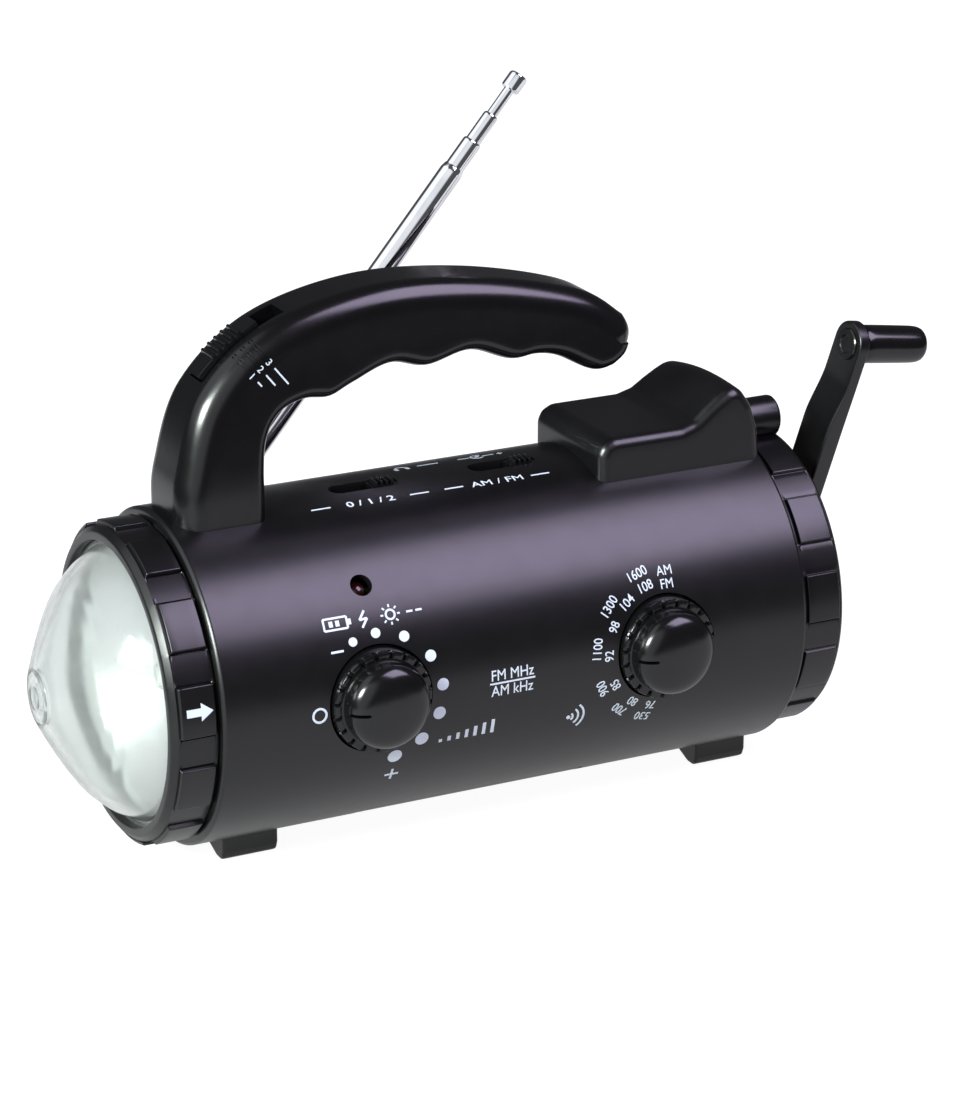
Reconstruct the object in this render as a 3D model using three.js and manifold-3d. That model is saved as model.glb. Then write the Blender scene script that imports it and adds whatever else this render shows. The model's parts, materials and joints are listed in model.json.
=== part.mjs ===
// Hand-crank emergency radio, torch and siren.
//
// Units are millimetres. The pieces are drawn in the barrel's own frame: X runs
// along the barrel from the lens end (X = 0 at the barrel's front edge) to the
// crank end, Y = 0 is the middle plane (the knobs are on the -Y side) and Z = 0
// is the barrel axis. The last lines move that frame so that the feet stand on
// Z = 0 and the origin is under the middle of the object.

import * as THREE from 'three';
import { mergeVertices } from 'three/addons/utils/BufferGeometryUtils.js';
import Module from 'manifold-3d';

// ---------------------------------------------------------------- dimensions
const AXIS_HEIGHT = 46; // barrel axis above the surface the feet stand on
const ORIGIN_X = 86.2; // middle of the overall length
const GAP = 0.3; // running and assembly clearance

const BARREL_LENGTH = 157.2;
const BARREL_R = 41.5;
const BARREL_WALL = 2.4;
const BARREL_BORE = BARREL_R - BARREL_WALL;
const SADDLE_R = BARREL_R + GAP; // what stands on the barrel is cut to this

const PAD_COUNT = 12; // raised grip pads round both end rings
const PAD_WIDTH = 17.5; // degrees
const PAD_PHASE = 51.3; // centre of the first pad, degrees from the top towards -Y
const BEZEL_R = 38.8;
const BEZEL_PAD_R = 39.8;
const BEZEL_FRONT = -11.6;
const LENS_OPENING_R = 35;
const REAR_RING_R = 38.5;
const REAR_PAD_R = 39.1;
const REAR_END = 169.9;

const HANDLE_BASE_HALF = 12.5;
const HANDLE_TOP_HALF = 10.8;
const HANDLE_EDGE = 4;
const HANDLE_WALL = 2.3;
const HANDLE_FOOT_Z = 28; // inside the barrel, before the saddle cut
const HANDLE_OUTER = [
  [2.6, 41], [3.5, 51.7], [10, 70.9], [27.2, 85.6], [54, 92.3], [83, 90.9], [110.7, 84.4], [123, 76.6],
];
const HANDLE_UNDER = [
  [119.2, 64.3], [113.8, 63.8], [104.4, 68.5], [98, 69.8], [91, 69.5], [80, 73.2], [68.4, 70.9], [58.7, 72.8],
  [48.8, 69.3], [42.5, 66.7], [36, 67], [30, 64.8], [26.6, 59.7], [25.5, 52], [25.5, 41],
];

const MODE_ARC = { x: 50.8, z: 39.1, r: 52.2 }; // the curve the mode slider rides on
const MODE_SLOT = [138.6, 109.8]; // degrees on that arc
const MODE_SLIDER = [138.1, 117.4];
const MODE_RIDGES = 5;

const TOP_SWITCH_Y = -2.8;
const TOP_SWITCHES = { power: 58.6, band: 96.2 }; // slider centres at rest
const TOP_SLIDER_LENGTH = 7;
const TOP_TRAVEL = 10;

const KNOB_HOLE_R = 13.4;
const KNOB_SKIRT_R = 12.8;
const KNOB_CAP_R = 10.5;
const KNOB_FRONT = -50.2;
const KNOB_GRIPS = 20;
const KNOB_Z = 1.5;
const VOLUME_X = 40.3;
const TUNING_X = 117.2;

const CRANK_TURN = 14; // degrees from the top towards -Y
const CRANK_LEAN = 8.6; // degrees the arm stands off the end face
const CRANK_HINGE_X = 174;
const CRANK_ARM = 66; // hinge to knob centre
const CRANK_OUTER = 1.5; // arm's outer face beyond its hinge
const CRANK_INNER = -3.4; // inner face of its thick lower part
const CRANK_BOSS_THICK = 3;
const CRANK_KNOB_LENGTH = 19;
const CRANK_KNOB_R = 4.9;

const GEAR_MODULE = 1;
const DRIVE_TEETH = 32;
const PINION_TEETH = 8;
const GEAR_CENTRES = (GEAR_MODULE * (DRIVE_TEETH + PINION_TEETH)) / 2;
const STEP_AXIS = [0, -GEAR_CENTRES];
const ROTOR_ANGLE = 30; // degrees, from the step gear to the rotor

const ANTENNA_PIVOT = [27.8, 43.3, 18];
const ANTENNA_RAISE = 49.9; // degrees above the barrel's direction
const ANTENNA_TUBE_R = 3;
const ANTENNA_JOINTS = [113.9, 121.9, 130.1, 138.1, 142.5]; // section ends from the pivot
const ANTENNA_RADII = [2.5, 2, 1.4];
const ANTENNA_WALL = 0.27;
const ANTENNA_TIP_R = 2.5;

// ---------------------------------------------------------------- materials
const look = (color, roughness, metalness = 0) =>
  new THREE.MeshStandardMaterial({ color, roughness, metalness });
const SATIN_BLACK = look(0x1d1b20, 0.45);
const GLOSS_BLACK = look(0x141316, 0.15);
const DARK_GREY = look(0x2a2a2c, 0.6);
const CLEAR = new THREE.MeshStandardMaterial({
  color: 0xe8eeee, roughness: 0.15, metalness: 0, transparent: true, opacity: 0.35,
});
const MIRROR = look(0xd9dcdc, 0.2, 1);
const CHROME = look(0xdadada, 0.1, 1);
const STEEL = look(0x9a9a9a, 0.35, 1);
const BRASS = look(0xb08d4a, 0.35, 1);
const RUBBER = look(0x101010, 0.85);
const BOARD = look(0x1f5a34, 0.5);
const WHITE_NYLON = look(0xdedbd0, 0.5);
const CELL_WRAP = look(0x2f5f86, 0.4);
const PACK_WRAP = look(0x2f7a4a, 0.4);
const RED_LENS = look(0x7a1414, 0.2);

// ---------------------------------------------------------------- solids
const wasm = await Module();
wasm.setup();

function signedVolume(points, triangles) {
  const [a, b, c] = [new THREE.Vector3(), new THREE.Vector3(), new THREE.Vector3()];
  let sum = 0;
  for (let i = 0; i < triangles.length; i += 3) {
    a.fromArray(points, 3 * triangles[i]);
    b.fromArray(points, 3 * triangles[i + 1]);
    c.fromArray(points, 3 * triangles[i + 2]);
    sum += a.dot(b.cross(c));
  }
  return sum;
}

// A closed geometry as a solid: vertices joined, slivers dropped, faces out.
function solid(geometry) {
  const bare = geometry.clone();
  bare.deleteAttribute('normal');
  bare.deleteAttribute('uv');
  const merged = mergeVertices(bare, 1e-4);
  const index = merged.index.array;
  const triangles = [];
  for (let i = 0; i < index.length; i += 3) {
    const [a, b, c] = [index[i], index[i + 1], index[i + 2]];
    if (a !== b && b !== c && c !== a) triangles.push(a, b, c);
  }
  const points = merged.attributes.position.array;
  if (signedVolume(points, triangles) < 0) triangles.reverse();
  return new wasm.Manifold(new wasm.Mesh({
    numProp: 3,
    vertProperties: new Float32Array(points),
    triVerts: new Uint32Array(triangles),
  }));
}

function meshOf(name, shape, material) {
  const { vertProperties, triVerts } = shape.getMesh();
  const geometry = new THREE.BufferGeometry();
  geometry.setAttribute('position', new THREE.BufferAttribute(vertProperties, 3));
  geometry.setIndex(new THREE.BufferAttribute(triVerts, 1));
  geometry.computeVertexNormals();
  const mesh = new THREE.Mesh(geometry, material);
  mesh.name = name;
  return mesh;
}

const union = (first, ...rest) => rest.reduce((sum, piece) => sum.add(piece), first);
const without = (first, ...cuts) => cuts.reduce((sum, piece) => sum.subtract(piece), first);
const radians = THREE.MathUtils.degToRad;

function block(x, y, z) {
  const size = [x, y, z].map(([low, high]) => high - low);
  const middle = [x, y, z].map(([low, high]) => (low + high) / 2);
  return solid(new THREE.BoxGeometry(...size).translate(...middle));
}

// Turned about the X axis: profile points are [x, radius].
function turned(profile, segments = 36, at = [0, 0]) {
  const points = profile.map(([x, r]) => new THREE.Vector2(r, x));
  const geometry = new THREE.LatheGeometry(points, segments);
  return solid(geometry.rotateZ(-Math.PI / 2).translate(0, ...at));
}

// Turned about an axis that points along -Y at [x, z]: points are [y, radius].
function turnedY(profile, segments, [x, z]) {
  const points = profile.map(([y, r]) => new THREE.Vector2(r, y));
  return solid(new THREE.LatheGeometry(points, segments).translate(x, 0, z));
}

// A straight round bar between two points.
function bar(from, to, radius, segments = 16) {
  const [a, b] = [new THREE.Vector3(...from), new THREE.Vector3(...to)];
  const along = b.clone().sub(a);
  const geometry = new THREE.CylinderGeometry(radius, radius, along.length(), segments);
  const turn = new THREE.Quaternion().setFromUnitVectors(
    new THREE.Vector3(0, 1, 0), along.clone().normalize(),
  );
  geometry.applyQuaternion(turn);
  return solid(geometry.translate(...a.add(b).multiplyScalar(0.5).toArray()));
}

// An outline drawn in the XZ plane, made solid between two Y values, with its
// rim rounded by `edge` and its sides moved inwards by `inset`.
function slabXZ(outline, [low, high], edge = 0, inset = 0, steps = 1) {
  const shape = new THREE.Shape(outline.map(([x, z]) => new THREE.Vector2(x, z)));
  const geometry = new THREE.ExtrudeGeometry(shape, {
    depth: high - low - 2 * edge,
    bevelEnabled: edge > 0 || inset > 0,
    bevelThickness: edge,
    bevelSize: edge,
    bevelOffset: -edge - inset,
    bevelSegments: 2,
    steps,
  });
  return geometry.rotateX(Math.PI / 2).translate(0, high - edge, 0);
}

// An outline drawn in the YZ plane, made solid between two X values.
function slabYZ(outline, [low, high], holes = []) {
  const shape = new THREE.Shape(outline.map(([y, z]) => new THREE.Vector2(y, z)));
  for (const hole of holes) {
    shape.holes.push(new THREE.Path(hole.map(([y, z]) => new THREE.Vector2(y, z))));
  }
  const geometry = new THREE.ExtrudeGeometry(shape, { depth: high - low, bevelEnabled: false });
  const turn = new THREE.Matrix4().makeBasis(
    new THREE.Vector3(0, 1, 0), new THREE.Vector3(0, 0, 1), new THREE.Vector3(1, 0, 0),
  );
  return solid(geometry.applyMatrix4(turn).translate(low, 0, 0));
}

function circle(radius, segments = 24, [u, v] = [0, 0]) {
  return Array.from({ length: segments }, (_, i) => {
    const angle = (2 * Math.PI * i) / segments;
    return [u + radius * Math.cos(angle), v + radius * Math.sin(angle)];
  });
}

// A piece of a ring in its own plane, about [u, v], between two angles in degrees.
function sector([inner, outer], [from, to], [u, v] = [0, 0], steps = 8) {
  const arc = (radius, a, b) => Array.from({ length: steps + 1 }, (_, i) => {
    const angle = radians(a + ((b - a) * i) / steps);
    return [u + radius * Math.cos(angle), v + radius * Math.sin(angle)];
  });
  return [...arc(outer, from, to), ...arc(inner, to, from)];
}

const barrelCore = (radius) => turned([[-20, 0], [-20, radius], [190, radius], [190, 0]], 48);

// ---------------------------------------------------------------- barrel
function barrelTube() {
  return turned([
    [0, BARREL_BORE], [0, BARREL_R - 0.8], [0.8, BARREL_R], [BARREL_LENGTH - 0.6, BARREL_R],
    [BARREL_LENGTH, BARREL_R - 0.6], [BARREL_LENGTH, BARREL_BORE], [0, BARREL_BORE],
  ], 48);
}

function topSlot(centre) {
  const end = centre + TOP_SLIDER_LENGTH / 2 + 0.5;
  const start = centre - TOP_SLIDER_LENGTH / 2 - TOP_TRAVEL - 0.5;
  return block([start, end], [TOP_SWITCH_Y - 2.6, TOP_SWITCH_Y + 2.6], [36, 44]);
}

const DOOR_X = [43, 105];
const DOOR_HALF_ANGLE = 34;
function doorSector(clearance) {
  const half = DOOR_HALF_ANGLE - clearance;
  const radii = clearance ? [BARREL_BORE, BARREL_R] : [BARREL_BORE - 2, BARREL_R + 2];
  const outline = sector(radii, [-90 - half, -90 + half]);
  return slabYZ(outline, [DOOR_X[0] + clearance, DOOR_X[1] - clearance]);
}

const radial = (angle, radius) => [radius * Math.sin(radians(angle)), radius * Math.cos(radians(angle))];
const JACK_ANGLE = 32; // from the top towards +Y
const LED_ANGLE = -48.9;
const LED_X = 39.9;
const DC_X = 88;
const PHONE_X = 71;
const SPEAKER_X = 105;

function radialBar(x, angle, [inner, outer], radius, segments = 20) {
  return bar([x, ...radial(angle, inner)], [x, ...radial(angle, outer)], radius, segments);
}

function barrelCuts() {
  const grille = [-12, -6, 0, 6, 12].map((z) =>
    block([SPEAKER_X - 14, SPEAKER_X + 14], [30, 44], [z - 1.2, z + 1.2]));
  return [
    topSlot(TOP_SWITCHES.power),
    topSlot(TOP_SWITCHES.band),
    bar([VOLUME_X, -30, KNOB_Z], [VOLUME_X, -45, KNOB_Z], KNOB_HOLE_R, 28),
    bar([TUNING_X, -30, KNOB_Z], [TUNING_X, -45, KNOB_Z], KNOB_HOLE_R, 28),
    radialBar(LED_X, LED_ANGLE, [35, 45], 2.75),
    radialBar(DC_X, JACK_ANGLE, [35, 45], 4.6),
    radialBar(PHONE_X, JACK_ANGLE, [35, 45], 3.9),
    bar([14, 0, 35], [14, 0, 45], 4),
    doorSector(0),
    ...grille,
  ];
}

function barrelShells() {
  const tube = without(barrelTube(), ...barrelCuts());
  const near = block([-1, 160], [-50, -GAP / 2], [-50, 50]);
  const far = block([-1, 160], [GAP / 2, 50], [-50, 50]);
  return [
    meshOf('barrel_shell_near', tube.intersect(near), SATIN_BLACK),
    meshOf('barrel_shell_far', tube.intersect(far), SATIN_BLACK),
    meshOf('battery_door', doorSector(0.5), SATIN_BLACK),
  ];
}

// Outline of a ring with raised pads, in the YZ plane.
function paddedOutline(base, padRadius) {
  const points = [];
  for (let i = 0; i < PAD_COUNT; i += 1) {
    const centre = 90 + PAD_PHASE + (360 / PAD_COUNT) * i;
    const edges = [-0.5, 0, 0.5].map((part) => centre + part * PAD_WIDTH);
    points.push(...edges.map((angle) => [angle, padRadius]));
    const next = centre + 360 / PAD_COUNT;
    points.push([edges[2], base], [next - PAD_WIDTH / 2, base]);
  }
  return points.map(([angle, r]) => [r * Math.cos(radians(angle)), r * Math.sin(radians(angle))]);
}

// ---------------------------------------------------------------- lamp end
function bezel() {
  const ring = turned([
    [-GAP, 37.2], [-GAP, BEZEL_R], [-9.8, BEZEL_R], [BEZEL_FRONT, 37.4], [BEZEL_FRONT, LENS_OPENING_R],
    [-9.6, LENS_OPENING_R], [-9.6, 37.2], [-GAP, 37.2],
  ]);
  const pads = slabYZ(paddedOutline(BEZEL_R - 0.2, BEZEL_PAD_R), [-9.9, -0.5], [circle(37.9, 36)]);
  return meshOf('front_bezel', ring.add(pads), SATIN_BLACK);
}

// Dome of the lens: a cone with a round shoulder and a bull's-eye nose.
const DOME = [
  [-32.6, 0], [-31.8, 4.4], [-28.6, 10.6], [-22.6, 21.5], [-18.4, 27], [-14, 31], [-9.6, 33.6],
];
function domeLens() {
  const inner = DOME.map(([x, r]) => [x + 2.2, Math.max(0, r - 0.8)]).reverse();
  return meshOf('dome_lens', turned([
    ...DOME, [-9.2, 36.8], [-7.4, 36.8], [-7.4, 32.8], ...inner,
  ]), CLEAR);
}

function ring([from, to], [inner, outer], segments = 32) {
  return turned([[from, inner], [from, outer], [to, outer], [to, inner], [from, inner]], segments);
}

function frontCollar() {
  return meshOf('front_collar', turned([
    [-5.2, 34], [-5.2, 36.8], [0.6, 36.8], [0.6, BARREL_BORE - GAP], [10, BARREL_BORE - GAP],
    [10, 36], [3, 34], [-5.2, 34],
  ]), DARK_GREY);
}

// Parabolic dish, bulb filament at its focus.
const DISH_BACK = 16;
const DISH_RIM = [-4.5, 33.4];
function reflector() {
  const steep = (DISH_BACK - DISH_RIM[0]) / DISH_RIM[1] ** 2;
  const front = Array.from({ length: 6 }, (_, i) => {
    const r = 5 + ((DISH_RIM[1] - 5) * i) / 5;
    return [DISH_BACK - steep * r * r, r];
  });
  const back = front.map(([x, r]) => [x + 1.2, r]).reverse();
  return meshOf('reflector', turned([...front, ...back, front[0]]), MIRROR);
}

function bulbPieces() {
  const glass = [[-2, 0], [-1.4, 2.4], [0.6, 3.8], [3, 4], [5.4, 3.2], [7.6, 2.4], [7.6, 0]];
  return [
    meshOf('bulb', turned(glass, 20), CLEAR),
    meshOf('bulb_base', turned([[8, 0], [8, 4.2], [20, 4.2], [21.5, 2], [21.5, 0]], 20), BRASS),
    meshOf('bulb_holder', turned([
      [17, 4.6], [17, 8], [27, 8], [27, 0], [22, 0], [22, 4.6], [17, 4.6],
    ], 24), DARK_GREY),
  ];
}

// ---------------------------------------------------------------- crank end
function rearCap() {
  const body = turned([
    [BARREL_LENGTH + GAP, 0], [BARREL_LENGTH + GAP, REAR_RING_R], [REAR_END - 1, REAR_RING_R],
    [REAR_END, REAR_RING_R - 1.2], [REAR_END, 0],
  ]);
  const pads = slabYZ(paddedOutline(REAR_RING_R - 0.2, REAR_PAD_R), [159.3, 168.8], [circle(37, 36)]);
  const well = turned([[150, 0], [150, 35.6], [164.6, 35.6], [164.6, 0]], 36);
  const hubSeat = turned([[166, 0], [166, 9.6], [175, 9.6], [175, 0]], 32);
  const shaftHole = bar([160, 0, 0], [170, 0, 0], 4.4);
  const stepHole = bar([160, ...STEP_AXIS], [167, ...STEP_AXIS], 2);
  const cap = body.add(pads);
  return meshOf('rear_cap', without(cap, well, hubSeat, shaftHole, stepHole), SATIN_BLACK);
}

function rearPost() {
  const post = turned([[157.6, 0], [157.6, 5.4], [169.8, 5.4], [170.3, 4.9], [170.3, 0]], 28, [0, 41.9]);
  return meshOf('rear_post', without(post, barrelCore(REAR_PAD_R + GAP)), SATIN_BLACK);
}

const HOUSING_HALF = 17.8;
const HOUSING_FALL = 0.2;
const HOUSING_LEAN = 0.1;
const HOUSING_FLAT = 48.3;
const HOUSING = [
  [111, 30], [111, 44.4], [112.2, 46.9], [115, HOUSING_FLAT], [134, HOUSING_FLAT], [138, 49.7],
  [141.4, 52.7], [144.6, 55.2], [147.2, 56.9], [149.6, 57.4], [151.7, 56], [154.3, 52], [156.3, 45.6],
  [157, 38], [157, 30],
];

// The rise behind the flat top falls away towards both sides, more so on the far side.
function crowned(geometry) {
  const place = geometry.attributes.position;
  for (let i = 0; i < place.count; i += 1) {
    const rise = Math.max(0, place.getZ(i) - HOUSING_FLAT);
    const side = place.getY(i) / HOUSING_HALF;
    place.setZ(i, place.getZ(i) - rise * side * (HOUSING_FALL * side + HOUSING_LEAN));
  }
  return geometry;
}

function topHousing() {
  const half = HOUSING_HALF;
  const outside = solid(crowned(slabXZ(HOUSING, [-half, half], 2.6, 0, 6)));
  const inside = solid(crowned(slabXZ(HOUSING, [2.2 - half, half - 2.2], 0.8, 2.2, 6)));
  return meshOf('top_housing', without(outside, inside, barrelCore(SADDLE_R)), SATIN_BLACK);
}

// ---------------------------------------------------------------- handle
function handleOutline() {
  const curve = (points, count) =>
    new THREE.SplineCurve(points.map(([x, z]) => new THREE.Vector2(x, z)))
      .getSpacedPoints(count).map((p) => [p.x, p.y]);
  const tip = curve([HANDLE_OUTER.at(-1), [124.4, 71.8], [122.8, 67.2], HANDLE_UNDER[0]], 5).slice(1, -1);
  const [start, end] = [HANDLE_OUTER[0][0], HANDLE_UNDER.at(-1)[0]];
  const grip = [...curve(HANDLE_OUTER, 18), ...tip, ...curve(HANDLE_UNDER, 32)];
  return [[start, HANDLE_FOOT_Z], ...grip, [end, HANDLE_FOOT_Z]];
}

// The handle is wider at its foot than along the grip.
function tapered(geometry) {
  const place = geometry.attributes.position;
  for (let i = 0; i < place.count; i += 1) {
    const rise = THREE.MathUtils.smoothstep(place.getZ(i), 46, 80);
    const slim = 1 + (HANDLE_TOP_HALF / HANDLE_BASE_HALF - 1) * rise;
    place.setY(i, place.getY(i) * slim);
  }
  return geometry;
}

const modeCentre = [MODE_ARC.x, MODE_ARC.z];
function handleShells() {
  const outline = handleOutline();
  const half = HANDLE_BASE_HALF;
  const outside = solid(tapered(slabXZ(outline, [-half, half], HANDLE_EDGE)));
  const room = half - HANDLE_WALL;
  const inside = solid(tapered(slabXZ(outline, [-room, room], 1.5, HANDLE_WALL)));
  const radii = [MODE_ARC.r - 8, MODE_ARC.r + 4];
  const slot = solid(slabXZ(sector(radii, MODE_SLOT, modeCentre), [-3.8, 3.8]));
  const handle = without(outside, inside, slot, barrelCore(SADDLE_R));
  const near = block([-5, 130], [-20, -GAP / 2], [30, 100]);
  const far = block([-5, 130], [GAP / 2, 20], [30, 100]);
  return [
    meshOf('handle_shell_near', handle.intersect(near), SATIN_BLACK),
    meshOf('handle_shell_far', handle.intersect(far), SATIN_BLACK),
  ];
}

function modeSlider() {
  const { r } = MODE_ARC;
  const plate = solid(slabXZ(sector([r - 1.4, r + 1.1], MODE_SLIDER, modeCentre), [-3.4, 3.4]));
  const middle = (MODE_SLIDER[0] + MODE_SLIDER[1]) / 2;
  const stem = solid(slabXZ(sector([r - 6, r - 1], [middle + 3, middle - 3], modeCentre), [-1.5, 1.5]));
  const ridges = Array.from({ length: MODE_RIDGES }, (_, i) => {
    const at = 131.6 - 2.2 * i;
    return solid(slabXZ(sector([r, r + 1.9], [at + 0.55, at - 0.55], modeCentre, 1), [-3.2, 3.2]));
  });
  return meshOf('mode_slider', union(plate, stem, ...ridges), GLOSS_BLACK);
}

function modeSwitch() {
  const { r } = MODE_ARC;
  const span = [135, 114];
  const body = solid(slabXZ(sector([r - 14, r - 8.4], span, modeCentre, 3), [-4.5, 4.5]));
  return meshOf('mode_switch', body, DARK_GREY);
}

// ---------------------------------------------------------------- feet
function foot(name, x) {
  const side = [[13.4, -36], [13.4, -43.2], [12.6, -45.2], [11.2, -46], [8.6, -46], [3.4, -44.2], [0, -43.7]];
  const outline = [...side, ...side.slice(0, -1).map(([y, z]) => [-y, z]).reverse()];
  return meshOf(name, without(slabYZ(outline, x), barrelCore(SADDLE_R)), SATIN_BLACK);
}

// ---------------------------------------------------------------- knobs
const GRIP_FACE = -43; // front face of a knob's skirt
function knob(name, x) {
  const z = KNOB_Z;
  const body = turnedY([
    [-37, 0], [-37, KNOB_SKIRT_R], [GRIP_FACE + 0.6, KNOB_SKIRT_R], [GRIP_FACE, KNOB_SKIRT_R - 0.6],
    [GRIP_FACE, KNOB_CAP_R], [-46.4, KNOB_CAP_R - 0.1], [-48.4, KNOB_CAP_R - 1.2], [-49.7, KNOB_CAP_R - 3.6],
    [KNOB_FRONT, 0],
  ], 24, [x, z]);
  const bore = bar([x, -36, z], [x, -45, z], 3 + GAP, 12);
  const pointer = block([x - KNOB_CAP_R - 1, x - 7.4], [KNOB_FRONT, -46.6], [z - 0.45, z + 0.45]);
  const grips = Array.from({ length: KNOB_GRIPS }, (_, i) => {
    const angle = (2 * Math.PI * i) / KNOB_GRIPS;
    const [u, v] = [Math.cos(angle) * KNOB_SKIRT_R, z + Math.sin(angle) * KNOB_SKIRT_R];
    return bar([x + u, GRIP_FACE + 1.8, v], [x + u, GRIP_FACE - 0.8, v], 0.7, 4);
  });
  return meshOf(name, without(body, bore, pointer, ...grips), GLOSS_BLACK);
}

const POT_FACE = -33.6;
function knobShaft(name, x) {
  return meshOf(name, bar([x, POT_FACE - GAP, KNOB_Z], [x, -44.6, KNOB_Z], 3, 12), STEEL);
}

// ---------------------------------------------------------------- slide switches
function topSlider(name, x) {
  const y = TOP_SWITCH_Y;
  const plate = block([x - 3.5, x + 3.5], [y - 2.2, y + 2.2], [38, 41.2]);
  const stem = block([x - 1.5, x + 1.5], [y - 1, y + 1], [34.6, 38.5]);
  const ridges = [-2.1, -0.7, 0.7, 2.1].map((at) =>
    block([x + at - 0.4, x + at + 0.4], [y - 2.2, y + 2.2], [41, 42.4]));
  return meshOf(name, union(plate, stem, ...ridges), GLOSS_BLACK);
}

function topSwitch(name, x) {
  const middle = x - TOP_TRAVEL / 2;
  const body = block([middle - 9.5, middle + 9.5], [TOP_SWITCH_Y - 3.5, TOP_SWITCH_Y + 3.5], [28.6, 34.2]);
  return meshOf(name, body, STEEL);
}

// ---------------------------------------------------------------- electrics
function jack(name, x, radius, bore, pin) {
  const body = radialBar(x, JACK_ANGLE, [30, BARREL_R - 0.6], radius);
  const hole = radialBar(x, JACK_ANGLE, [33, 44], bore);
  const sleeve = body.subtract(hole);
  const post = pin && radialBar(x, JACK_ANGLE, [32, BARREL_R - 2], pin, 8);
  return meshOf(name, post ? sleeve.add(post) : sleeve, DARK_GREY);
}

function speaker() {
  return meshOf('speaker', turnedY([
    [28.6, 0], [27.6, 4.5], [30.2, 17.5], [31, 18], [31, 20], [29, 20], [24, 13], [24, 9.5], [19, 9.5],
    [19, 0],
  ], 24, [SPEAKER_X, -2]), DARK_GREY);
}

function electrics() {
  const potBody = turnedY([[-26.9, 0], [-26.9, 8], [POT_FACE, 8], [POT_FACE, 0]], 20, [VOLUME_X, KNOB_Z]);
  const capacitor = block([TUNING_X - 10, TUNING_X + 10], [POT_FACE, -26.9], [-10, 10]);
  return [
    meshOf('volume_pot', potBody, STEEL),
    meshOf('tuning_capacitor', capacitor, WHITE_NYLON),
    meshOf('main_board', block([28, 127], [-26.6, -25], [-24, 24]), BOARD),
    meshOf('switch_board', block([40, 104], [-9, 6], [26.6, 28.2]), BOARD),
    meshOf('charge_led', radialBar(LED_X, LED_ANGLE, [36, 40], 2.4), RED_LENS),
    jack('dc_jack', DC_X, 4.3, 2.75, 1),
    jack('phone_jack', PHONE_X, 3.6, 1.8, 0),
    speaker(),
  ];
}

const CELL_R = 7.15;
const CELL_Z = -24;
function batteries() {
  const tray = block([44, 104], [-24, 24], [-30, -14]);
  const room = block([45.5, 102.5], [-22.8, 22.8], [-40, -15.6]);
  const cells = [-15, 0, 15].map((y, i) => {
    const profile = [
      [48.6, 0], [48.6, CELL_R], [97.6, CELL_R], [97.6, 2.7], [99, 2.7], [99, 0],
    ];
    return meshOf(`aa_cell_${i + 1}`, turned(profile, 20, [y, CELL_Z]), CELL_WRAP);
  });
  return [
    meshOf('battery_tray', tray.subtract(room), DARK_GREY),
    ...cells,
    meshOf('rechargeable_pack', block([50, 80], [-11, 21], [-11.5, -1]), PACK_WRAP),
  ];
}

// ---------------------------------------------------------------- gearbox
// Teeth are straight-sided and narrow enough to run with backlash.
function gearOutline(teeth, phase, [u, v]) {
  const pitchR = (GEAR_MODULE * teeth) / 2;
  const step = 360 / teeth;
  const corner = (r, angle) => [u + r * Math.cos(radians(angle)), v + r * Math.sin(radians(angle))];
  return Array.from({ length: teeth }, (_, i) => {
    const at = phase + step * i;
    return [
      corner(pitchR - 1.1 * GEAR_MODULE, at - 0.26 * step), corner(pitchR + 0.7 * GEAR_MODULE, at - 0.1 * step),
      corner(pitchR + 0.7 * GEAR_MODULE, at + 0.1 * step), corner(pitchR - 1.1 * GEAR_MODULE, at + 0.26 * step),
    ];
  }).flat();
}

const rotorAxis = [
  STEP_AXIS[0] + GEAR_CENTRES * Math.cos(radians(ROTOR_ANGLE)),
  STEP_AXIS[1] + GEAR_CENTRES * Math.sin(radians(ROTOR_ANGLE)),
];
const halfStep = 180 / PINION_TEETH;

function gearbox() {
  const drive = slabYZ(gearOutline(DRIVE_TEETH, -90, [0, 0]), [157.2, 161.6], [circle(4.4)]);
  const stepPinion = slabYZ(gearOutline(PINION_TEETH, 90 + halfStep, STEP_AXIS), [153, 163]);
  const stepWheel = slabYZ(gearOutline(DRIVE_TEETH, ROTOR_ANGLE, STEP_AXIS), [149, 153.5]);
  const stepAxle = bar([145, ...STEP_AXIS], [165.6, ...STEP_AXIS], 1.6, 12);
  const pinion = slabYZ(
    gearOutline(PINION_TEETH, ROTOR_ANGLE + 180 + halfStep, rotorAxis), [148, 154],
  );
  const rotor = turned([[131, 0], [131, 10.5], [142, 10.5], [142, 0]], 24, rotorAxis);
  const rotorAxle = bar([140, ...rotorAxis], [149, ...rotorAxis], 1.6, 12);
  const plate = block([144.6, 147], [-12, 34], [-34, 4]).intersect(barrelCore(BARREL_BORE - 1));
  const holes = [STEP_AXIS, rotorAxis].map((at) => bar([143, ...at], [148, ...at], 2));
  const dynamo = turned([
    [128, 0], [128, 14.6], [144, 14.6], [144, 11.5], [130, 11.5], [130, 0],
  ], 28, rotorAxis);
  return [
    meshOf('drive_gear', drive, WHITE_NYLON),
    meshOf('step_gear', union(stepWheel, stepPinion, stepAxle), WHITE_NYLON),
    meshOf('dynamo_rotor', union(rotor, rotorAxle, pinion), STEEL),
    meshOf('gearbox_plate', without(plate, ...holes), STEEL),
    meshOf('dynamo_case', dynamo, STEEL),
  ];
}

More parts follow.
